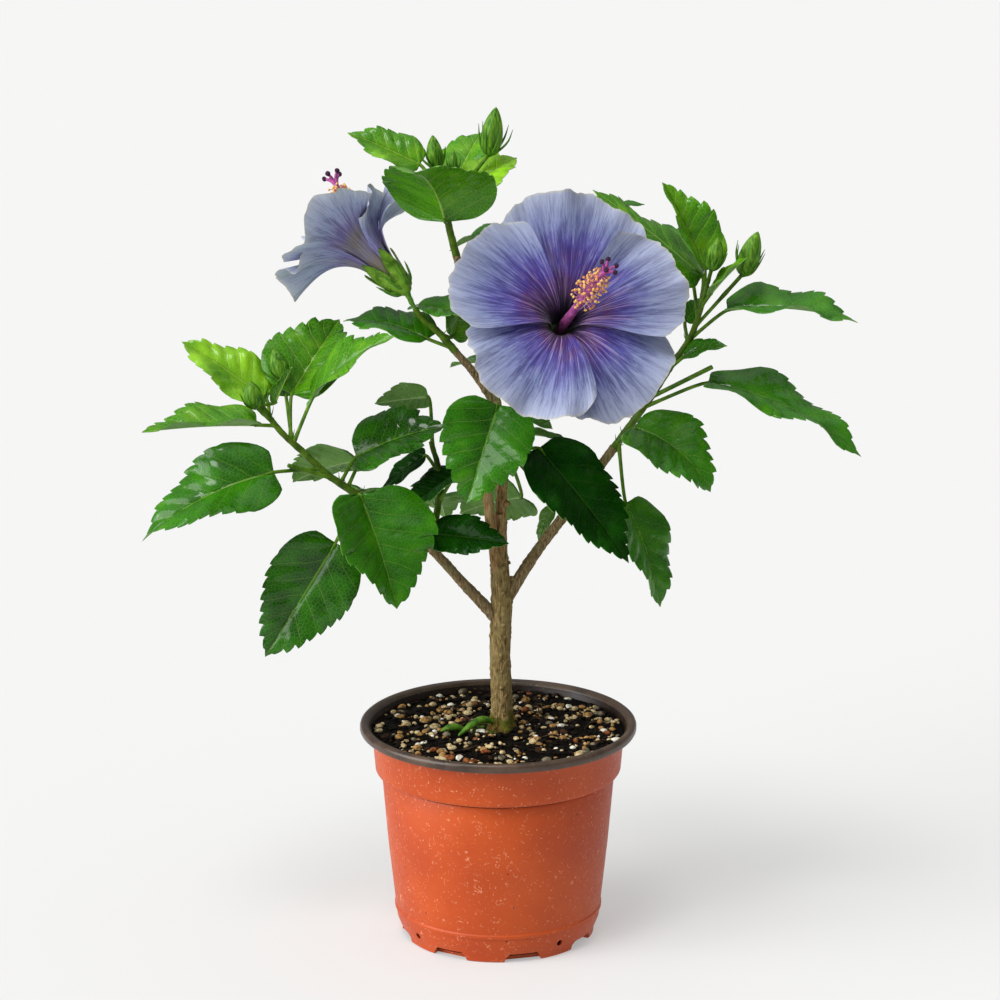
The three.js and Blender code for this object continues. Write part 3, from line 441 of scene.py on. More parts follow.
LEADER_FROM = 216  # level over the fork where the wood is younger and redder
MOSS_TO = 124  # level up to which the damp foot is mossed over


def on_curve(points, t):
    """Point at t, from 0 to 1, of the smooth curve through the points."""
    where = (len(points) - 1) * t
    k = min(int(where), len(points) - 2)
    w = where - k
    p = [Vector(points[min(max(j, 0), len(points) - 1)]) for j in range(k - 1, k + 3)]
    if k == 0:
        p[0] = 2 * p[1] - p[2]
    if k + 2 == len(points):
        p[3] = 2 * p[2] - p[1]
    gaps = [max((b - a).length, 1e-4) ** 0.5 for a, b in zip(p, p[1:])]
    start = (p[1] - p[0]) / gaps[0] - (p[2] - p[0]) / (gaps[0] + gaps[1])
    start = (start + (p[2] - p[1]) / gaps[1]) * gaps[1]
    end = (p[2] - p[1]) / gaps[1] - (p[3] - p[1]) / (gaps[1] + gaps[2])
    end = (end + (p[3] - p[2]) / gaps[2]) * gaps[1]
    bend = 2 * p[1] - 2 * p[2] + start + end
    lean = -3 * p[1] + 3 * p[2] - 2 * start - end
    return ((bend * w + lean) * w + start) * w + p[1]


def between(a, b, t):
    return a + (b - a) * t


def eased(x, low, high):
    """0 below low, 1 above high, and a smooth step between."""
    s = min(max((x - low) / (high - low), 0), 1)
    return s * s * (3 - 2 * s)


def across(first, second, angle):
    """The direction at an angle from the first direction toward the second."""
    return first * math.cos(angle) + second * math.sin(angle)


def weave_grid(bm, columns, rows, place, weld, material=0, marks=()):
    """A grid of quads, each corner (column, row) moved to its place, then welded."""
    made = bmesh.ops.create_grid(
        bm, x_segments=columns, y_segments=rows, size=0.5
    )["verts"]
    faces = sorted({f for v in made for f in v.link_faces}, key=lambda f: f.index)
    halves = {"FIXED": [], "ALTERNATE": []}
    for face in faces:
        i = int((face.calc_center_median().x + 0.5) * columns)
        face.material_index = material if isinstance(material, int) else material[i]
        halves["FIXED" if 2 * i < columns else "ALTERNATE"].append(face)
    for vert in made:
        i, j = round((vert.co.x + 0.5) * columns), round((vert.co.y + 0.5) * rows)
        vert.co = place(i, j)
        for layer, mark in dict(marks).items():
            vert[layer] = mark(i, j)
    if not isinstance(material, int):  # both faces of a sheet, cut the same way
        for way, half in halves.items():
            bmesh.ops.triangulate(bm, faces=half, quad_method=way)
    bmesh.ops.remove_doubles(bm, verts=made, dist=weld)
    return faces


def limb(bm, points, radii, sides, rows, material=0, relief=None):
    """A round limb along a curve, its radius eased from one value to the next."""
    rings, normal = [], Vector((0, 1, 0))
    for j in range(rows + 1):
        t = j / rows
        at = on_curve(points, t)
        step = on_curve(points, min(t + 0.002, 1)) - on_curve(points, max(t - 0.002, 0))
        along = step.normalized()
        normal = (normal - along * normal.dot(along)).normalized()
        k = t * (len(radii) - 1)
        n = min(int(k), len(radii) - 2)
        rings.append((at, normal, along.cross(normal),
                      between(radii[n], radii[n + 1], k - n)))

    def place(i, j):
        at, normal, side, r = rings[j]
        out = across(normal, side, 2 * math.pi * (i % sides) / sides)
        if relief:
            r += relief(at + out * r, j / rows)
        return at + out * r

    faces = weave_grid(bm, sides, rows, place, 0.0005, material)
    open_edges = {e for f in faces if f.is_valid for e in f.edges if e.is_boundary}
    for face in bmesh.ops.holes_fill(bm, edges=list(open_edges))["faces"]:
        face.material_index = material


def bark_relief(depth, node_every):
    """Fine fissures along the grain, and swollen nodes with leaf scars."""
    def relief(p, t):
        grain_at = Vector((p.x * 0.9, p.y * 0.9, p.z * 0.13))
        fissure = noise.noise(grain_at) + 0.5 * noise.noise(grain_at * 2.3)
        warts = max(0, noise.noise(p * 0.35 + Vector((5, 5, 5))) - 0.25)
        ring = abs(((p.z + 3 * math.sin(p.x)) / node_every) % 1 - 0.5) * 2
        return depth * (0.55 * fissure + 1.2 * warts + 0.7 * max(0, ring - 0.86) * 7)
    return relief


trunk_bark = bark_relief(0.75, 19)
bough_bark = bark_relief(0.45, 15)


def flare(p, t):
    """Root flare: buttresses toward the soil, over the bark's own relief."""
    low = max(0, 1 - (p.z - GROUND) / 20) ** 2
    around = math.atan2(p.y, p.x - 2)
    return trunk_bark(p, t) + low * (1.3 * math.sin(4 * around + 0.6) + 0.8)


wood = bmesh.new()
limb(wood, TRUNK, TRUNK_RADII, 56, 420, OLD, flare)
limb(wood, STUB, STUB_RADII, 32, 70, YOUNG, bough_bark)
draw = random.Random(17)
for _ in range(SPURS):  # left where side shoots and leaves have dropped
    t, way = draw.uniform(0.22, 0.84), draw.uniform(0, 2 * math.pi)
    foot = on_curve(TRUNK, t)
    out = Vector((math.cos(way), math.sin(way), draw.uniform(0.2, 0.8)))
    r = 0.8 * TRUNK_RADII[int(t * (len(TRUNK) - 1)) + 1]
    limb(wood, [foot + out * (r - 2), foot + out * r, foot + out * (r + 3)],
         [2.3, 1.8, draw.uniform(0.6, 1.0)], 9, 8, OLD, bough_bark)
for face in wood.faces:
    middle = face.calc_center_median()
    if middle.z > LEADER_FROM:
        face.material_index = YOUNG
    if middle.z < MOSS_TO + 9 * noise.noise(middle * 0.25):
        face.material_index = MOSSED

young_wood = bmesh.new()
for points, radii in BOUGHS.values():
    limb(young_wood, points, radii, 28, 130, 0, bough_bark)


def bark(name, deep, mid, light, bloom, gloss):
    """Bark with its grain along the limb, lichen-grey patches and lenticels."""
    material, tree, place = new_finish(name)
    along = add(tree, SHIFT, {"Vector": place, "Scale": (1, 1, 0.16)})
    fibres, base = mottle(tree, along, 0.9, [(0.33, deep), (0.5, mid), (0.68, light)],
                          6, Roughness=0.65)
    _, worn = mottle(tree, place, 7, [(0.48, 0), (0.66, 0.75)], 4)
    base = tint(tree, base, bloom, worn)
    _, pores = mottle(tree, place, 3.1, [(0.10, 0.6), (0.17, 0)], 0, CELLS)
    base = tint(tree, base, light, pores)
    height = add(tree, "ADD", (fibres, pores))
    surface(tree, base, gloss, height, 0.8, 0.8, 0.15)
    return material


# cork-grey bark of the trunk, the redder leader, and the foot, damp and mossed
WOOD_BARKS = [
    bark("hibiscus_bark", "#3b2d18", "#7d693f", "#ab9667", "#897b50", 0.8),
    bark("young_brown_bark", "#4a341d", "#8f7045", "#b5976b", "#93805a", 0.7),
    bark("mossy_bark", "#2c240e", "#5a4e20", "#8a6a2c", "#606a20", 0.85),
]
bough_wood = bark("green_brown_bark", "#3f3120", "#7c6848", "#a8926c", "#77704a", 0.68)
finish_piece("trunk_bark", wood, WOOD_BARKS, "bark", "trunk", sharp=80)
finish_piece("bough_bark", young_wood, [bough_wood], "green_bark", *BOUGHS, sharp=80)


# ---------------------------------------------------------------- shoots
# Soft green twigs that carry the leaves, each leaf on a stalk that is swollen
# at both ends, with a pair of thin stipules where the stalk leaves the twig.

# A leaf is: kind, place on the twig, stalk (heading, rise, length), blade
# (heading, rise, length), width, roll, droop, fold and twist.
# A bud is: place on the twig, stalk, bud (heading, rise, length), width.
# A stub, a stalk that has lost its leaf, is: place, stalk and radius.
# A sprig is: count of leaves, first and last place, first and last heading,
# rise and length.
SHOOTS = {
    "left_foliage": {
        "stem": [(-72, -15, 249), (-91, -14, 262), (-105, -12, 275),
                 (-115, -10, 284), (-128, -6, 301)],
        "leaves": [
            ("grown", .02, (275, 18, 9), (308, -60, 64), 66, 0, 15, 20),
            ("deep", .03, (205, -62, 28), (195, -57, 72), 48, -75, 10, 12),
            ("pale", .10, (77, 24, 24), (150, -23, 46), 42, 30, 20, 10),
            ("deep", .15, (61, 33, 20), (355, 20, 52), 42, 30, 30, 12),
            ("lit", .30, (215, 5, 29), (194, -25, 80), 44, -28, 45, 12, 60),
            ("young", .58, (357, 67, 27), (334, 38, 63), 34, 30, 30, 15),
            ("young", .62, (90, 48, 28), (45, 45, 50), 50, 20, 10, 20),
            ("young", .80, (210, 9, 11), (195, 0, 62), 34, -5, 10, 25),
            ("fresh", .86, (100, 21, 18), (165, 31, 55), 32, -30, 10, 15),
            ("turned", .95, (350, 13, 8), (336, 63, 23), 10, 0, 10, 40),
            ("grown", .60, (100, 40, 30), (100, 5, 46), 30, 0, 30, 12),
            ("grown", .05, (80, -10, 18), (60, -42, 52), 34, 0, 30, 12),
        ],
        "buds": [(.80, (206, 44, 16), (221, 78, 15), 10.5),
                 (.97, (45, 26, 20), (159, 72, 18), 10.5)],
        "stubs": [(.20, (208, 22, 28), 1.1)],
    },
    "right_foliage": {
        "stem": [(62, 10, 270), (81, 8, 298), (93, 5, 318), (102, 2, 333),
                 (110, -2, 361)],
        "leaves": [
            ("grown", .02, (293, 32, 26), (336, -35, 57), 42, 25, 75, 10),
            ("grown", .03, (291, -71, 33), (337, -70, 60), 36, 15, 25, 14),
            ("wavy", .20, (346, 24, 38), (349, -24, 92), 38, 12, 40, 12),
            ("grown", .45, (320, 40, 13), (337, 18, 26), 14, 30, 40, 15),
            ("grown", .70, (92, 19, 21), (48, 42, 16), 12, 40, 10, 10),
            ("wavy", .72, (349, 40, 26), (353, -4, 70), 34, 10, 30, 20),
            ("young", .85, (68, 73, 22), (171, 37, 74), 40, -20, 10, -15),
            ("young", .90, (67, 74, 19), (160, 62, 52), 35, -25, 10, 35),
            ("young", .90, (302, 45, 12), (330, 46, 30), 16, 20, 10, 20),
            ("grown", .85, (100, 50, 26), (110, 25, 46), 28, 0, 30, 12),
            ("grown", .06, (60, 5, 20), (40, -33, 50), 32, 0, 30, 12),
        ],
        "buds": [(.92, (294, 63, 22), (332, 77, 18), 9),
                 (.80, (354, 49, 38), (345, 72, 25), 11.5)],
        "stubs": [(.25, (337, 30, 40), 1.2)],
    },
    "top_foliage": {
        "stem": [(-22, 0, 377), (-26, -2, 394), (-27, -4, 407), (-24, -4, 423)],
        "leaves": [
            ("turned", .45, (265, -9, 10), (248, 38, 56), 62, 6, 62, 14),
            ("fresh", .60, (8, 34, 14), (24, 28, 32), 30, 15, 20, 10),
            ("young", .70, (139, 39, 24), (170, 22, 42), 26, -30, 10, 15),
            ("young", .75, (82, -2, 24), (65, 34, 42), 34, 0, 20, 10),
            ("grown", .40, (80, 10, 16), (80, -8, 40), 26, 0, 30, 12),
        ],
        "buds": [(.55, (18, 49, 36), (331, 81, 26), 11.5),
                 (.80, (114, 27, 17), (136, 81, 18), 9),
                 (.97, (86, -11, 8), (0, 87, 12), 5)],
    },
    "upper_left_foliage": {
        "stem": [(-23, 2, 325), (-32, 0, 336), (-41, 0, 344), (-44, 0, 348.5)],
        "leaves": [
            ("grown", .04, (173, 20, 14), (147, 3, 56), 32, -10, 35, 10),
            ("young", .30, (45, -22, 10), (76, 40, 25), 20, 60, 20, 10),
            ("grown", .60, (101, 8, 20), (323, -4, 44), 28, 8, 25, 10),
        ],
    },
    "front_foliage": {
        "stem": [(1, 3, 256), (2, -5, 266), (2, -9, 281), (0, -10, 297)],
        "leaves": [
            ("grown", .98, (256, 64, 3), (235, -59, 56), 50, -32, 25, 15),
            ("old", .40, (0, 15, 20), (327, -44, 79), 46, 20, 15, 8),
        ],
    },
    "inner_left_foliage": {
        "stem": [(-37, -8, 220), (-33, 8, 234), (-31, 12, 252), (-36, 16, 272)],
        "leaves": [
            ("old", .12, (275, 20, 8), (338, -1, 44), 26, 40, 10, 10),
            ("old", .45, (335, 60, 20), (200, -34, 34), 34, 0, 10, 10),
            ("old", .70, (137, 41, 14), (162, -40, 34), 20, -30, 10, 10),
            ("pale", .95, (109, 75, 27), (164, -11, 31), 20, 60, 10, 10),
        ],
        "sprig": (1, .3, .5, 95, 150, -30, 46),
    },
    "back_foliage": {
        "stem": [(2, 5, 262), (8, 16, 270), (16, 30, 292), (24, 38, 330),
                 (29, 42, 370), (32, 43, 386)],
        "leaves": [
            ("grown", .10, (342, 82, 22), (325, -7, 26), 20, 0, 10, 10),
            ("pale", .12, (37, 31, 17), (15, -15, 24), 18, 0, 10, 10),
            ("pale", .12, (67, -58, 34), (137, -21, 50), 40, 50, 20, 10),
            ("pale", .14, (38, -50, 47), (203, -67, 22), 16, 0, 10, 10),
            ("grown", .96, (320, 35, 10), (7, 10, 42), 20, 0, 20, 10),
        ],
        "sprig": (9, .25, .96, 30, 185, -8, 52),
    },
}
STEM_RADII = [2.1, 1.9, 1.7, 1.4]
STALK_R = 0.95
WOODY, STALK = range(2)


def toward(heading, rise):
    """The direction along a heading, raised by a number of degrees."""
    h, r = math.radians(heading), math.radians(rise)
    return Vector((math.cos(r) * math.cos(h), math.cos(r) * math.sin(h), math.sin(r)))


def sprig_leaves(count, first_at, last_at, first, last, rise, length):
    """A run of leaves up a twig, each two fifths of the spread on from the last."""
    for k in range(count):
        heading = between(first, last, (0.4 * k) % 1)
        size = length * (1 - 0.13 * (k % 3))
        at = between(first_at, last_at, (k + 0.5) / count)
        swing = 12 if k % 2 else -12
        yield ("grown", at, (heading, rise + 30, 18),
               (heading + swing, rise - 10 * (k % 2), size), 0.62 * size, 0, 35, 12)


for shoot in SHOOTS.values():
    if "sprig" in shoot:
        shoot["leaves"] += sprig_leaves(*shoot["sprig"])


def stalk_ends(shoot, at, stalk):
    """The foot of a stalk on its twig, and its tip."""
    heading, rise, length = stalk
    root = on_curve(shoot["stem"], at)
    return root, root + toward(heading, rise) * length


def midrib(base, blade, roll, droop, t):
    """Point, direction and upper normal of a leaf's midrib at t."""
    heading, rise, length = blade
    d = toward(heading, rise)
    up = toward(heading, rise + 90)
    n = across(up, d.cross(up), math.radians(roll))
    bend = math.radians(max(droop, 1))
    a, radius = bend * (t - 0.5), length / bend
    p = base + d * radius * (math.sin(a) + math.sin(bend / 2))
    p += n * radius * (math.cos(a) - math.cos(bend / 2))
    return p, across(d, n, -a), across(n, d, a)


def stalk_swelling(p, t):
    return 0.35 * max(0, 1 - t / 0.12) + 0.3 * max(0, 1 - abs(t - 0.62) / 0.1)


def twig_relief(p, t):
    return 0.25 * noise.noise(p * 0.3) + 0.12 * noise.noise(p * 1.1)


draw = random.Random(5)
twigs = bmesh.new()
for shoot in SHOOTS.values():
    limb(twigs, shoot["stem"], STEM_RADII, 14, 60, WOODY, twig_relief)
    for kind, at, stalk, blade, width, roll, droop, fold, *twist in shoot["leaves"]:
        root, base = stalk_ends(shoot, at, stalk)
        inner = midrib(base, blade, roll, droop, 0.07)[0]
        limb(twigs, [root, base, inner], [STALK_R * 1.1, STALK_R, 0.4], 9, 16, STALK,
             stalk_swelling)
        for turn in (-50, 50):  # stipules: thin green hairs beside the stalk
            way = toward(stalk[0] + turn, stalk[1] + 25)
            foot = root + way * 1.4
            tip = foot + way * draw.uniform(2.5, 4) + Vector((0, 0, draw.uniform(1.5, 3)))
            limb(twigs, [foot - way, foot + way, tip], [0.42, 0.35, 0.08], 5, 5, STALK)
    for at, stalk, bud, width in shoot.get("buds", []):
        root, base = stalk_ends(shoot, at, stalk)
        limb(twigs, [root, base + toward(*bud[:2])], [STALK_R, STALK_R * 1.15], 9, 14,
             STALK, stalk_swelling)
    for at, stalk, r in shoot.get("stubs", []):
        limb(twigs, stalk_ends(shoot, at, stalk), [r, r * 1.05], 9, 14, STALK)


def green_stem(name, dark, light, blush):
    """Soft green wood: smooth, faintly streaked and blushed."""
    material, tree, place = new_finish(name)
    _, base = mottle(tree, place, 6, [(0.35, dark), (0.65, light)])
    _, spots = mottle(tree, place, 1.2, [(0.56, 0), (0.7, 0.6)])
    base = tint(tree, base, blush, spots)
    surface(tree, base, 0.42, spots, 0.2, 0.5, 0.15)
    return material


twig_skin = green_stem("green_twig_skin", "#2c4707", "#4f7013", "#63582a")
stalk_skin = green_stem("leaf_stalk_skin", "#38600b", "#628c22", "#768336")
finish_piece("green_twigs", twigs, [twig_skin, stalk_skin], "foliage", *SHOOTS, sharp=80)


# ---------------------------------------------------------------- sprouts
# Two fleshy green sprouts that lie beside the trunk's foot, and wiry old roots
# washed bare by watering.

# a sprout is: where it starts, heading, length and highest level
SPROUTS = ((-3, 214, 22, 122.5), (-19, 204, 13, 117.5))
BARE_ROOTS = 22

sprouts = bmesh.new()
for start, heading, length, top in SPROUTS:
    way, foot = toward(heading, 0), Vector((start, -3, 0))
    levels = (top - 2, top, 0.5 * (top + 118), 116.4)
    path = [foot + way * length * k / 3 + Vector((0, 0, z)) for k, z in enumerate(levels)]
    limb(sprouts, path, [1.5, 2.2, 1.9, 0.6], 12, 22, 0, twig_relief)
for _ in range(BARE_ROOTS):
    far, around = draw.uniform(11, 50), draw.uniform(0, 2 * math.pi)
    way, length = draw.uniform(0, 360), draw.uniform(7, 17)
    start, path = Vector((far * math.cos(around), far * math.sin(around), 0)), []
    for k in range(4):
        stray = Vector((draw.uniform(-2, 2), draw.uniform(-2, 2), 0))
        point = start + stray + toward(way, 0) * length * k / 3
        point.z = mix_level(point.x, point.y) + (2.2 if k in (1, 2) else -0.5)
        path.append(point)
    limb(sprouts, path, [0.3, 0.36, 0.3, 0.2], 5, 16, 1)
sprout_skin = green_stem("sprout_skin", "#2c5210", "#6a9a2c", "#94a84e")
root_skin = green_stem("bare_root", "#1c120a", "#4a3420", "#6d5030")
finish_piece("sprouts_and_roots", sprouts, [sprout_skin, root_skin], "potting_mix",
             "potting_mix", sharp=80)


# ---------------------------------------------------------------- leaves
# Broad toothed blades, quilted between the side veins, with a sunk pale midrib.
# The upper face is waxy and glossy, the underside matt and paler.

LEAF_COLUMNS = [-1, -.95, -.84, -.68, -.51, -.34, -.17, -.06, 0,
                .06, .17, .34, .51, .68, .84, .95, 1]
PLAIN_ROWS = (0, .006, .018, .036, .06, .09, .13, .175)  # below the first teeth
TIP_ROWS = (.95, .97, .988, 1)
TOOTH_ROWS = ((0, -.1), (.22, .45), (.55, .85), (.86, 1))  # along a tooth, and out
TEETH_FROM, TEETH_TO = 0.3, 0.95
TOOTH_EVERY = 5.6
VEIN_STEP = 0.15  # between side veins, of the leaf's length
VEIN_SWEEP = 0.30  # how far forward a side vein reaches at the margin
LEAF_SKIN = 0.34
UPPER, UNDER = range(2)


def vein_at(q, t):
    """Which side vein a spot of the blade is at; whole numbers are veins."""
    return (t - VEIN_SWEEP * abs(q) ** 0.85 * (1 - 0.55 * t)) / VEIN_STEP


def leaf_outline(t):
    """Half width at t, of the widest."""
    return t**0.47 * max(1 - t, 0) ** 1.1 / 0.38372


def thin_sheet(bm, columns, rows, place, skin, marks, face=UPPER, back=UNDER):
    """A closed thin sheet: up one face, round the edge and down the other."""
    round_trip = 2 * columns + 2

    def folded(i):
        i %= round_trip
        return (i, 1) if i <= columns else (round_trip - 1 - i, -1)

    def lay(i, j):
        column, way = folded(i)
        p, normal = place(column, j)
        return p + normal * (way * skin / 2 if 0 < j < rows else 0)

    sides = {layer: lambda i, j, mark=mark: mark(folded(i)[0], j)
             for layer, mark in marks.items()}
    finishes = [face if i < columns else back for i in range(round_trip)]
    weave_grid(bm, round_trip, rows, lay, 0.0008, finishes, sides)


# piece, how light it is within its kind, and how loose its margin is
LEAF_KINDS = {
    "young": ("young_leaves", 0.45, 1.9),
    "fresh": ("young_leaves", 1.0, 1.9),
    "turned": ("young_leaves", 0.3, 1.5),
    "lit": ("grown_leaves", 0.35, 1.8),
    "grown": ("grown_leaves", 0.45, 2.0),
    # a grown leaf whose skin is painted darker, as painted shade
    "deep": ("grown_leaves", 0.05, 1.8),
    "wavy": ("grown_leaves", 0.6, 2.4),
    # leaves inside the crown: a darker skin, partly older growth and partly painted shade
    "old": ("old_and_shaded_leaves", 0.5, 1.4),
    "pale": ("shaded_leaves", 0.5, 1.4),
}


def leaf_blade(bm, blade_mark, span_mark, kind, base, blade, width, roll, droop,
               fold, twist=0):
    """One blade: rows set by its teeth, bent, folded, twisted and quilted."""
    length = blade[2]
    rows = [(t, 0) for t in PLAIN_ROWS] + [(.215, .1), (.26, .2)]
    teeth = max(4, round(length * (TEETH_TO - TEETH_FROM) / TOOTH_EVERY))
    for k in range(teeth):
        big = draw.uniform(0.65, 1.25) * (0.5 if k == 0 else 1)
        for phase, grow in TOOTH_ROWS:
            rows.append((between(TEETH_FROM, TEETH_TO, (k + phase) / teeth), grow * big))
    rows += [(t, 0) for t in TIP_ROWS]
    _, tone, waves = LEAF_KINDS[kind]
    tone += draw.uniform(-0.12, 0.12)
    waves *= length / 60
    wave_at = draw.uniform(0, 6.3)
    folds, lobe_back = math.radians(fold), 0.045 * length

    def place(i, j):
        q, (t, tooth) = LEAF_COLUMNS[i], rows[j]
        out = abs(q)
        p, along, up = midrib(base, blade, roll, droop, t)
        up = Matrix.Rotation(math.radians(twist) * (t - 0.5), 3, along) @ up
        side = along.cross(up)
        half = width / 2 * leaf_outline(t)
        bite = min(0.09 * width / 2, 1.8) * tooth * out**5 * min(1, half / 6)
        lobe = lobe_back * min(t / 0.03, 1) * max(0, 1 - t / 0.4)
        p = p + side * (half + bite) * q * math.cos(folds)
        p += up * (half + bite) * out * math.sin(folds)
        p += along * (bite - lobe * out**1.5)
        # quilting, a sunk midrib, and a loose margin
        vein = abs(vein_at(q, t) % 1 - 0.5) * 2  # 1 on a vein
        puff = (1 - vein**3) * out**0.6 * (1 - out**4)
        lift = 2.5 * puff * min(1, half / 12)
        lift -= 0.6 * max(0, 1 - out / 0.1) * (1 - t)
        frill = math.sin(13 * t + wave_at + (2 if q > 0 else 0))
        lift += waves * frill * out**2.2 * min(1, 4 * t, 5 * (1 - t))
        return p + up * lift, up

    def blade_at(i, j):
        return (LEAF_COLUMNS[i], rows[j][0], tone)

    def span_at(i, j):
        return (width / 2 * leaf_outline(rows[j][0]) * LEAF_COLUMNS[i], length, 0)

    faces = (UNDER, UPPER) if kind == "turned" else (UPPER, UNDER)
    thin_sheet(bm, len(LEAF_COLUMNS) - 1, len(rows) - 1, place, LEAF_SKIN,
               {blade_mark: blade_at, span_mark: span_at}, *faces)


leaf_meshes = {}
for shoot in SHOOTS.values():
    for kind, at, stalk, blade, width, roll, droop, fold, *twist in shoot["leaves"]:
        name = LEAF_KINDS[kind][0]
        if name not in leaf_meshes:
            bm = bmesh.new()
            layers = bm.verts.layers.float_vector
            leaf_meshes[name] = (bm, layers.new("blade"), layers.new("span"))
        leaf_blade(*leaf_meshes[name], kind, stalk_ends(shoot, at, stalk)[1], blade,
                   width, roll, droop, fold, *twist)


def mark_of(tree, name):
    """The three values that a piece carries under a name, together and apart."""
    spot = add(tree, MARK, out="Vector", attribute_name=name, attribute_type="GEOMETRY")
    return spot, add(tree, SPLIT, [spot], out=slice(0, 3))


def leaf_skin(name, deep, mid, light, vein, gloss, shine, underside=False):
    """A leaf's skin: mottled green, veins that follow the blade, a waxy gloss."""
    material, tree, place = new_finish(name)
    _, (q, t, tone) = mark_of(tree, "blade")
    _, (x, length, _) = mark_of(tree, "span")
    # distance from the midrib, in mm, thinned toward the tip
    far = add(tree, "ABSOLUTE", [x])
    taper = add(tree, "MULTIPLY_ADD", (t, -0.62, 0.85))
    rib = add(tree, "DIVIDE", (far, taper))
    rib = add(tree, RAMP, [rib], [(0.55, 1), (1.0, 0)])
    # side veins: whole steps of the place along, swept forward toward the margin
    out = add(tree, "ABSOLUTE", [q])
    bowed = add(tree, "POWER", (out, 0.85))
    lessen = add(tree, "MULTIPLY_ADD", (t, -0.55 * VEIN_SWEEP, VEIN_SWEEP))
    swept = add(tree, "MULTIPLY", (bowed, lessen))
    steps = add(tree, "SUBTRACT", (t, swept))
    wobble = add(tree, NOISE, {"Vector": place, "Scale": 1 / 9, "Detail": 1})
    steps = add(tree, "MULTIPLY_ADD", (wobble, 0.035, steps))
    near = add(tree, "PINGPONG", (steps, VEIN_STEP / 2))
    near = add(tree, "MULTIPLY", (near, length))
    width = add(tree, "MULTIPLY_ADD", (out, -0.3, 0.48))
    near = add(tree, "DIVIDE", (near, width))
    ribs = add(tree, RAMP, [near], [(0.35, 0.85), (1.0, 0)])
    start = add(tree, "ShaderNodeMapRange", {"Value": steps, "From Min": -0.05,
                                             "From Max": -0.02})
    ribs = add(tree, "MULTIPLY", (ribs, start))
    ribs = add(tree, "MULTIPLY", (ribs, 0.7))
    lines = add(tree, "MAXIMUM", (rib, ribs))
    # the net of fine veinlets between, cells of about 2 mm
    up_blade = add(tree, "MULTIPLY", (t, length))
    flat = add(tree, "ShaderNodeCombineXYZ", (x, up_blade, tone))
    net = add(tree, CELLS, {"Vector": flat, "Scale": 1 / 1.9},
              feature="DISTANCE_TO_EDGE", voronoi_dimensions="2D")
    net = add(tree, RAMP, [net], [(0.02, 1), (0.12, 0)])
    # light and dark green in clouds, then the net and the veins over them
    cloud = add(tree, NOISE, {"Vector": place, "Scale": 1 / 14, "Detail": 4})
    cloud = add(tree, "MULTIPLY_ADD", (cloud, 0.6, 0.2))
    shade = add(tree, "MULTIPLY_ADD", (tone, 0.34, cloud))
    base = add(tree, RAMP, [shade], [(0.42, deep), (0.66, mid), (0.92, light)])
    base = tint(tree, base, vein, net, 0.16)
    base = tint(tree, base, vein, lines, 0.85 if underside else 0.5)
    # veins are sunk in the upper face and stand out underneath
    height = add(tree, "MULTIPLY_ADD", (net, 0.12, lines))
    height = add(tree, "MULTIPLY", (height, 1.0 if underside else -1.0))
    pores = add(tree, NOISE, {"Vector": place, "Scale": 1 / 0.8, "Detail": 2})
    height = add(tree, "MULTIPLY_ADD", (pores, 0.07, height))
    _, rough = mottle(tree, place, 5, [(0.3, gloss - 0.07), (0.7, gloss + 0.1)])
    surface(tree, base, rough, height, 0.6, 0.7, shine,
            {"IOR": 1.45, "Coat Weight": 0 if underside else 4 * shine,
             "Coat Roughness": 0.13})
    return material


# waxy upper skins, from fresh to shaded growth, and the matt underside
LEAF_SKINS = {
    "young_leaves": leaf_skin("fresh_leaf_skin", "#1f5c00", "#3d7e02", "#84bc18",
                              "#acd05a", 0.3, 0.09),
    "grown_leaves": leaf_skin("grown_leaf_skin", "#0e3f01", "#2a6e03", "#579611",
                              "#7ba83c", 0.27, 0.1),
    # the darkest skin: older growth, darkened further as painted shade for leaves inside
    # the crown
    "old_and_shaded_leaves": leaf_skin("dark_leaf_skin", "#021c01", "#073302", "#1a5607",
                            "#37641f", 0.25, 0.02),
    "shaded_leaves": leaf_skin("shaded_leaf_skin", "#2f5f10", "#4b7824", "#6b943e",
                               "#93b26c", 0.42, 0.06),
}
leaf_back = leaf_skin("leaf_underside", "#48782a", "#639142", "#83aa5e", "#a4c080",
                      0.6, 0.15, underside=True)
for name, (bm, *_) in leaf_meshes.items():
    finish_piece(name, bm, [LEAF_SKINS[name], leaf_back], "foliage", *SHOOTS, sharp=70)


# ---------------------------------------------------------------- buds
# Plump green buds, five-ribbed where the calyx is still shut, each in a ring of
# thin bracts that curve away from it.

BUD_PROFILE = [(0, 0), (.25, .02), (.38, .1), (.47, .24), (.5, .38), (.46, .56),
               (.37, .72), (.22, .87), (.09, .96), (0, 1)]
BUD_SIDES, BUD_ROWS, BRACTS = 40, 30, 7
GREEN, BRACT = range(2)

buds = bmesh.new()
for shoot in SHOOTS.values():
    for at, stalk, bud, width in shoot.get("buds", []):
        base = stalk_ends(shoot, at, stalk)[1]
        d, length = toward(*bud[:2]), bud[2]
        e1 = d.cross(Vector((0.3, 1, 0.1))).normalized()
        e2 = d.cross(e1)

        def place(i, j):
            z = j / BUD_ROWS
            r = on_curve([(a, 0, b) for a, b in BUD_PROFILE], z)
            a = 2 * math.pi * (i % BUD_SIDES) / BUD_SIDES
            seam = abs(math.sin(2.5 * a + 0.9 * z))
            out = 0 if j in (0, BUD_ROWS) else max(r.x, 0) * (0.74 + 0.28 * seam**0.45)
            return base + across(e1, e2, a) * width * out + d * length * r.z

        weave_grid(buds, BUD_SIDES, BUD_ROWS, place, 0.001)
        for k in range(BRACTS):
            out = across(e1, e2, 2 * math.pi * k / BRACTS + 0.4)
            curl = draw.uniform(0.62, 0.95)
            limb(buds, [base - d * 0.5, base + out * 0.34 * width + d * 0.1 * length,
                        base + out * 0.66 * width * curl / 0.8 + d * 0.34 * length,
                        base + out * curl * width + d * 0.62 * length],
                 [0.85, 0.8, 0.6, 0.12], 6, 10, BRACT)
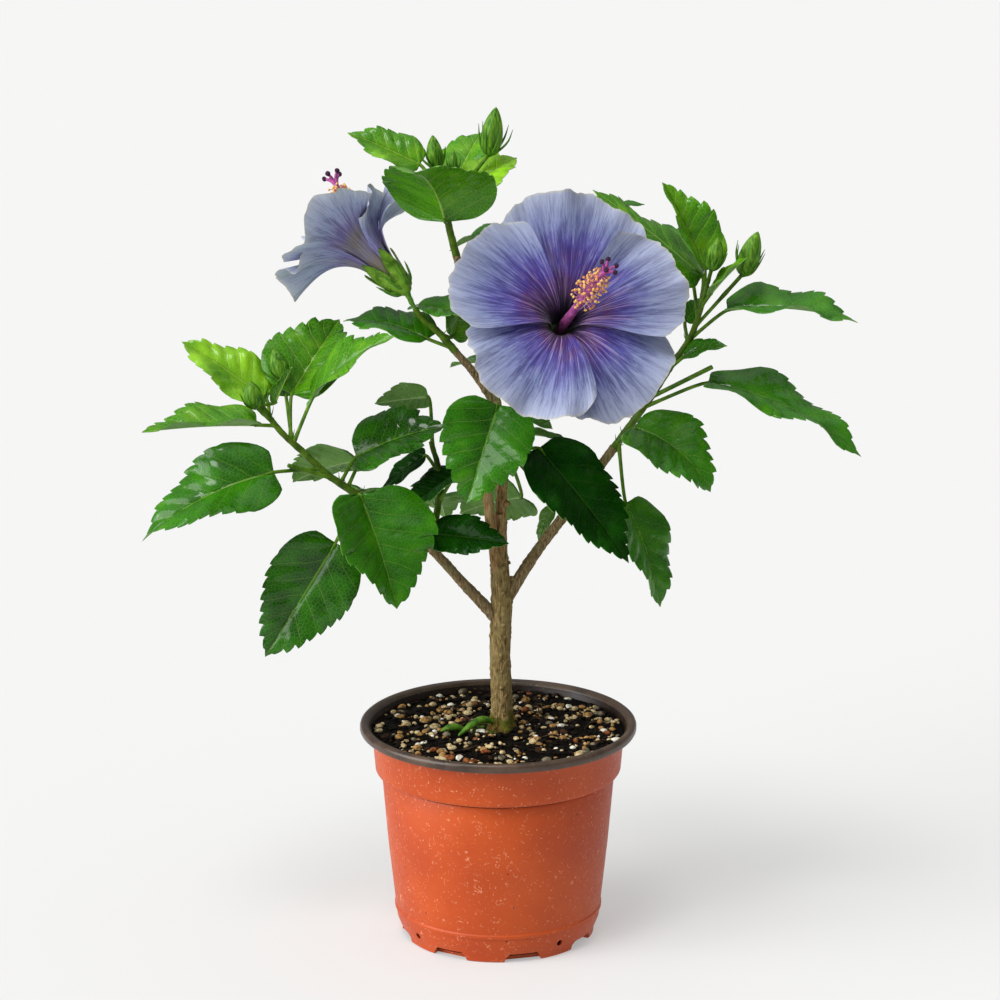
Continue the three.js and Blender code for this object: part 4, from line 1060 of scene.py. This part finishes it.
bmesh.ops.recalc_face_normals(buds, faces=buds.faces)

bud_skin, tree, place = new_finish("bud_skin")
streaks = add(tree, SHIFT, {"Vector": place, "Scale": (1, 1, 0.2)})
_, base = mottle(tree, streaks, 1.2, [(0.35, "#2b5e0a"), (0.65, "#689626")])
down = add(tree, NOISE, {"Vector": place, "Scale": 1 / 0.5, "Detail": 2})
surface(tree, base, 0.5, down, 0.2, 0.4, 0.2)
bract_skin = green_stem("bract_skin", "#2f5c12", "#4f8423", "#6f9038")
finish_piece("flower_buds", buds, [bud_skin, bract_skin], "foliage", "left_foliage",
             "right_foliage", "top_foliage", sharp=80)


# ---------------------------------------------------------------- blooms
# Two open flowers: five silky petals that each lie over the next, nearly black
# in the throat, then violet, then slate blue with dark rays and a pale frilled
# margin. The column carries gold anthers and five maroon stigma pads.

# "base" and "axis" set the flower, "turn" its first petal. "open" is how far the
# petal's line leans out, eased over "bend" mm. For each petal: "poise" tips it,
# "sizes" scales it, "aim" turns it and "spread" is half its angle. "over" is how
# high its two edges ride. "reach" and "lean" set the column.
BLOOMS = {
    "front_bloom": {
        "base": (31, -15, 337.5), "axis": (280, 30), "turn": 89, "open": (14, 86),
        "bend": (14, 50), "petal": 84, "poise": [6, -1, 0, 6, -2],
        "sizes": [1.01, 1, .94, .91, 1], "aim": [-9, -12, -1, 4, 1],
        "reach": 61, "lean": (42, 22), "spread": [47, 42, 55, 50, 40], "taper": 0.15,
        "over": [(-1, -1), (1, 1), (1, -1), (-1, -1), (1, 1)], "ruffle": 1.7,
        "stalk": [(-3, 6, 307), (8, 5, 318), (23, -6, 329)],
    },
    "left_bloom": {
        "base": (-48.5, 1, 358), "axis": (144, 34), "turn": 30, "open": (14, 76),
        "bend": (16, 60), "petal": 71, "poise": [0, -6, -4, -22, -2],
        "sizes": [1.05, .82, .92, 1, 1.02], "aim": [-10, 2, -24, -8, 2],
        "reach": 74, "lean": (130, 15), "spread": [56, 52, 52, 50, 43], "taper": 0.2,
        "over": [(1, 1), (1, -1), (1, -1), (1, -1), (-1, 1)], "ruffle": 3.0,
        "stalk": [(-44.3, 0, 349), (-46.5, .2, 353.5)],
    },
}
PETALS = 5
PETAL_COLUMNS, PETAL_ROWS = 48, 56
CLAW = 9  # mm of bare petal foot inside the cup
PETAL_SKIN, LOBE_SKIN = 0.36, 0.5
CUP_LINE = [(0, -2), (1.6, -2), (2.8, -1.2), (4.4, 0.8), (5.6, 3), (6.5, 6),
            (7.2, 9.5), (6.4, 9.5), (5.4, 6), (0, 5)]
CUP_SIDES = 30
BRACT_LINE = [(2, 0), (6.5, 3), (9.5, 9), (10.5, 12)]
LOBE_FROM, LOBE_TO, LOBE_CELLS = 6, 26, 12
ANTHERS = 140
ANTHERS_FROM, ANTHERS_TO = 0.56, 0.93
STYLES_AT = 0.95
CORE, THREAD, RIPE, ROSY, STYLE, PAD = range(6)

petals, greens, columns = bmesh.new(), bmesh.new(), bmesh.new()
petal_mark = petals.verts.layers.float_vector.new("petal")
draw = random.Random(23)


def petal_spot(i, j):
    """Place across a petal, from 1 to -1, and along it, from 0 to 1."""
    return 1 - 2 * i / PETAL_COLUMNS, j / PETAL_ROWS


for shape in BLOOMS.values():
    axis = toward(*shape["axis"])
    up = (Vector((0, 0, 1)) - axis * axis.z).normalized()
    right = up.cross(axis)
    centre = Vector(shape["base"])
    turn = shape["turn"]

    def outward(azimuth):
        return across(right, up, azimuth)

    def at_radius(azimuth, r, h):
        return centre + outward(azimuth) * r + axis * h

    def lean_at(s):
        return math.radians(between(*shape["open"], eased(s, *shape["bend"])))

    def face_of(azimuth, s):
        """The direction that a petal faces, s mm along it."""
        return across(outward(azimuth), axis, math.pi - lean_at(s))

    line = [(2.2, 0)]
    for s in range(int(shape["petal"] * max(shape["sizes"])) + 4):
        f = lean_at(s + 0.5)
        line.append((line[-1][0] + math.sin(f), line[-1][1] + math.cos(f)))

    def on_line(s):
        k = min(s, len(line) - 2)
        i = int(k)
        return [between(a, b, k - i) for a, b in zip(line[i], line[i + 1])]

    for k in range(PETALS):
        frill_at, _, flute_at = (draw.uniform(0, 6.3) for _ in range(3))

        def place(i, j):
            u, v = petal_spot(i, j)
            edge_at = Vector((u * 3 + frill_at, 9 * k, 0))
            frill = 0.045 * noise.noise(edge_at) + 0.02 * noise.noise(edge_at * 4)
            reach = 1 - shape["taper"] * abs(u) ** 3.2 + frill * v**5
            reach = shape["petal"] * shape["sizes"][k] * reach
            s = CLAW + (reach - CLAW) * v
            r, h = on_line(s)
            half = shape["spread"][k] * u * (1 - 0.08 * v**5)
            heading = turn + 360 / PETALS * k + shape["aim"][k]
            azimuth = math.radians(heading + half)
            m = face_of(azimuth, s)
            poised = math.radians(shape["poise"][k]) * eased(v, 0.1, 0.8)
            r, h = r + h * math.sin(poised), h - r * math.sin(poised)
            ruffle = 1.8 * v**3 * math.sin(5.5 * u + 1.9 * k)
            ruffle += 0.8 * v**4 * math.sin(11 * u + k)
            ruffle *= shape["ruffle"]
            ruffle += 0.9 * v**9 * math.sin(21 * u + flute_at)
            ribs = 0.22 * math.cos(46 * u + 1.5 * math.sin(3 * v)) * v * (1 - v**6)
            crease = -0.5 * math.exp(-((u / 0.05) ** 2)) * (1 - v)
            first, last = shape["over"][k]
            tilt = u * (first - last) / 2 + u * u * (first + last) / 2
            lift = tilt * between(1, 2.6, eased(v, 0, 0.6))
            return at_radius(azimuth, r, h) + m * (lift + ruffle + ribs + crease), m

        def mark(i, j):
            return (*petal_spot(i, j), k + 0.5)

        thin_sheet(petals, PETAL_COLUMNS, PETAL_ROWS, place, PETAL_SKIN,
                   {petal_mark: mark})

    # calyx: a cup with five pointed lobes, a ring of bracts, and the flower stalk
    def cup(i, j):
        r, h = CUP_LINE[j]
        a = 2 * math.pi * (i % CUP_SIDES) / CUP_SIDES
        return at_radius(a, r * (1 + 0.03 * math.cos(5 * a)), h)

    weave_grid(greens, CUP_SIDES, len(CUP_LINE) - 1, cup, 0.001)
    for k in range(PETALS):  # a lobe of the calyx behind each gap between petals

        def lobe(i, j):
            u, v = 1 - 2 * i / LOBE_CELLS, j / LOBE_CELLS
            s = between(LOBE_FROM, LOBE_TO, v)
            half = 0.58 * (1 - v**2.2) * (1 - 0.15 * v) + 0.004
            azimuth = math.radians(turn + 360 / PETALS * (k + 0.5)) + half * u
            m = face_of(azimuth, s)
            in_under = 2.6 + 0.5 * u * u - 1.2 * v**3
            return at_radius(azimuth, *on_line(s)) - m * in_under, m

        thin_sheet(greens, LOBE_CELLS, LOBE_CELLS, lobe, LOBE_SKIN, {}, GREEN, GREEN)
    for k in range(BRACTS):
        azimuth = 2 * math.pi * (k + 0.3) / BRACTS
        bract = [at_radius(azimuth, r, h) for r, h in BRACT_LINE]
        limb(greens, bract, [0.9, 0.85, 0.6, 0.12], 6, 12, BRACT)
    limb(greens, [*shape["stalk"], shape["base"]], [1.3, 1.35, 1.5, 2.3], 12, 40, BRACT,
         twig_relief)

    # column with its filaments, anthers and stigma pads
    way, bent = shape["lean"]
    core = [at_radius(math.radians(way), bent * t * t, shape["reach"] * t)
            for t in (0.06, 0.33, 0.55, 0.78, 1)]
    limb(columns, core, [3.0, 2.5, 2.0, 1.7, 1.3], 18, 70, CORE, twig_relief)

    def off_core(t, ahead, angle):
        """A point of the column, the way along it there, and a way out from it."""
        root = on_curve(core, t)
        along = (on_curve(core, ahead) - root).normalized()
        e1 = along.cross(right).normalized()
        return root, along, across(e1, along.cross(e1), angle)

    def faced(tip, side):
        return Matrix.Translation(tip) @ side.to_track_quat("Z", "Y").to_matrix().to_4x4()

    for k in range(ANTHERS):
        t = between(ANTHERS_FROM, ANTHERS_TO, (k / ANTHERS) ** 0.8)
        root, along, side = off_core(t, t + 0.01, 2.4 * k + draw.uniform(-0.3, 0.3))
        far = draw.uniform(3.6, 7.6) * (1 - 0.4 * max(0, t - 0.84) / 0.09)
        tip = root + side * far + along * draw.uniform(0.4, 2.4)
        middle = root.lerp(tip, 0.5) + along * 0.5
        limb(columns, [root, middle, tip], [0.3, 0.24, 0.2], 5, 5, THREAD)
        squash = Matrix.Diagonal((1, draw.uniform(0.6, 0.85), 0.7, 1))
        spin = Matrix.Rotation(draw.uniform(0, 3.1), 4, "Z")
        lump(columns, 0.9, 2, 0.3, 1.4, Vector((k, 0, 0)),
             faced(tip, side) @ spin @ squash, draw.choice((RIPE, RIPE, ROSY)))
    for k in range(PETALS):  # styles, each with a velvet pad
        root, along, side = off_core(STYLES_AT, 1, 2 * math.pi * k / PETALS)
        knee = root + along * 4.6 + side * 2
        tip = root + along * 7 + side * 4.6
        limb(columns, [root, knee, tip], [1.0, 0.85, 0.75], 8, 12, STYLE)
        lump(columns, 1.4, 4, 0.11, 2.6, Vector((k, 3, 3)),
             faced(tip, side) @ Matrix.Diagonal((1, 1, 0.85, 1)), PAD)
for bm in (greens, columns):
    bmesh.ops.recalc_face_normals(bm, faces=bm.faces)


def petal_skin(name, tones, ray, pale, rough, back=False):
    """Silky petal: colour by the way out from the throat, rays along it."""
    material, tree, place = new_finish(name)
    spot, (_, v, which) = mark_of(tree, "petal")
    blotch = add(tree, NOISE, {"Vector": place, "Scale": 1 / 13, "Detail": 4})
    blotch = add(tree, "SUBTRACT", (blotch, 0.5))
    reach_in = add(tree, RAMP, [v], [(0.1, 0.15), (0.45, 0.62), (0.97, 0.02)])
    blotch = add(tree, "MULTIPLY", (blotch, reach_in))
    out = add(tree, "ADD", (v, blotch))
    # the upper petals carry the dark eye farther out than the lower ones
    order = add(tree, "DIVIDE", (which, PETALS))
    eye = add(tree, RAMP, [order], [(0.1, 0.13), (0.3, 0.1), (0.5, 0.05), (0.7, 0.02)])
    belt = add(tree, RAMP, [v], [(0.12, 0.1), (0.45, 1), (0.7, 0.8), (0.95, 0)])
    eye = add(tree, "MULTIPLY", (eye, belt))
    out = add(tree, "SUBTRACT", (out, eye))
    base = add(tree, RAMP, [out], tones)
    # rays: narrow bands along the petal, fanned from the claw
    fan = add(tree, SHIFT, {"Vector": spot, "Scale": (25, 4.2, 5)})
    rays, dark = mottle(tree, fan, 1, [(0.475, 0), (0.58, 1)], 5, Roughness=0.72,
                        Distortion=0.3)
    fade = add(tree, RAMP, [v], [(0.05, 0.2), (0.3, 0.8), (0.72, 0.6), (0.97, 0.2)])
    base = tint(tree, base, ray, dark, fade)
    light = add(tree, RAMP, [rays], [(0.34, 1), (0.46, 0)])
    near = add(tree, RAMP, [v], [(0.2, 0), (0.42, 0.4), (0.6, 0.45), (0.95, 0.2)])
    base = tint(tree, base, pale, light, near)
    if not back:  # white-pink flecks that stand round the throat
        thin = add(tree, SHIFT, {"Vector": spot, "Scale": (34, 2.2, 3)})
        _, flecks = mottle(tree, thin, 1, [(0.57, 0), (0.66, 1)], 1)
        ring = add(tree, RAMP, [v], [(0.17, 0), (0.27, 0.8), (0.46, 0.4), (0.68, 0)])
        most = add(tree, RAMP, [order], [(0.1, 0.4), (0.5, 0.6), (0.7, 1)])
        base = tint(tree, base, "#d8b2e0", flecks, ring, most)
    veins = add(tree, SHIFT, {"Vector": spot, "Scale": (60, 2.5, 3)})
    veins = add(tree, NOISE, {"Vector": veins, "Scale": 1, "Detail": 2})
    cells = add(tree, NOISE, {"Vector": place, "Scale": 1 / 0.9, "Detail": 2})
    height = add(tree, "MULTIPLY_ADD", (cells, 0.3, veins))
    surface(tree, base, rough, height, 0.6, 0.5, 0.5,
            {"Sheen Weight": 0.15, "Sheen Roughness": 0.4, "IOR": 1.4})
    return material


petal_face = petal_skin(
    "petal_face",
    [(0.16, "#050106"), (0.23, "#2c0830"), (0.31, "#4a1560"), (0.43, "#3c2a86"),
     (0.57, "#504e98"), (0.72, "#727ca8"), (0.975, "#949cb4"), (1.0, "#a9aaa6")],
    "#241d55", "#a4aac0", 0.5,
)
petal_back = petal_skin(
    "petal_back",
    [(0.03, "#66762f"), (0.17, "#7d7660"), (0.42, "#847bb8"), (0.70, "#a2add8"),
     (0.975, "#c2cadf"), (1.0, "#cecbbe")],
    "#584f80", "#bcbec6", 0.55, back=True,
)
calyx_skin = green_stem("calyx_skin", "#3d640e", "#6d9a2c", "#8aa84a")


def tinted(name, dark, light, grain_size, rough, depth=0.3):
    """A small fleshy or powdery part: two tones in grains of a given size."""
    material, tree, place = new_finish(name)
    grains, base = mottle(tree, place, grain_size, [(0.35, dark), (0.65, light)])
    surface(tree, base, rough, grains, depth, 0.8)
    return material


# the column's flesh, its threads, pollen in two ripenesses, and velvet pads
column_skins = [
    tinted("column_flesh", "#7c2c70", "#b45f9c", 3, 0.45),
    tinted("filament_flesh", "#b0508a", "#d89ab8", 2, 0.5),
    tinted("ripe_pollen", "#c4863a", "#f2cd7c", 0.5, 0.85),
    tinted("rosy_pollen", "#a8542f", "#dfa065", 0.5, 0.85),
    tinted("style_flesh", "#8a2c78", "#b84f9c", 2, 0.5),
    tinted("stigma_velvet", "#1e0520", "#421440", 0.45, 0.9, 0.5),
]
finish_piece("petals", petals, [petal_face, petal_back], "petals", *BLOOMS, sharp=75)
finish_piece("calyces", greens, [calyx_skin, bract_skin], "petals", *BLOOMS, sharp=60)
finish_piece("columns", columns, column_skins, "petals", *BLOOMS, sharp=80)


# ---------------------------------------------------------------- stage
# A seamless translucent table lit from below as well as above, which thins the
# shadow, and a big soft light from the left that throws it back and to the right.

FLOOR_REACH = 14  # metres
LIGHTS = (  # name, where it stands, its spread and its power
    ("key_light", (-2.5, -1.5, 1.7), 0.7, 2.0),
    ("side_light", (-3.0, -0.5, 0.7), 0.6, 1.5),
    ("top_light", (-0.4, -0.95, 2.2), 0.32, 1.05),
)

ground = bmesh.new()
bmesh.ops.create_grid(ground, x_segments=8, y_segments=8, size=FLOOR_REACH)
ground_mesh = bpy.data.meshes.new("floor")
ground.to_mesh(ground_mesh)
ground.free()
floor = bpy.data.objects.new("floor", ground_mesh)
scene.collection.objects.link(floor)
paper, tree, place = new_finish("lit_acrylic")
add(tree, tree.nodes["Principled BSDF"],
    {"Base Color": "#adadac", "Roughness": 0.95, "Emission Color": "#ffffff",
     "Emission Strength": 0.36})
ground_mesh.materials.append(paper)

world = bpy.data.worlds.new("studio")
scene.world = world
world.use_nodes = True
tree = world.node_tree
way = add(tree, "ShaderNodeTexCoord", out="Generated")
height = add(tree, SPLIT, [way], out="Z")
glow = add(tree, RAMP, [height],
           [(0, 0.26), (0.5, 0.34), (0.72, 0.5), (0.9, 1.2), (1, 1.2)])
add(tree, tree.nodes["Background"], {"Color": glow, "Strength": 0.86})
for name, place_at, spread, power in LIGHTS:
    light = bpy.data.lights.new(name, "SUN")
    light.angle, light.energy = spread, power
    lamp = bpy.data.objects.new(name, light)
    lamp.location = place_at
    lamp.rotation_euler = (-Vector(place_at)).to_track_quat("-Z", "Y").to_euler()
    scene.collection.objects.link(lamp)
scene.view_settings.view_transform = "Standard"
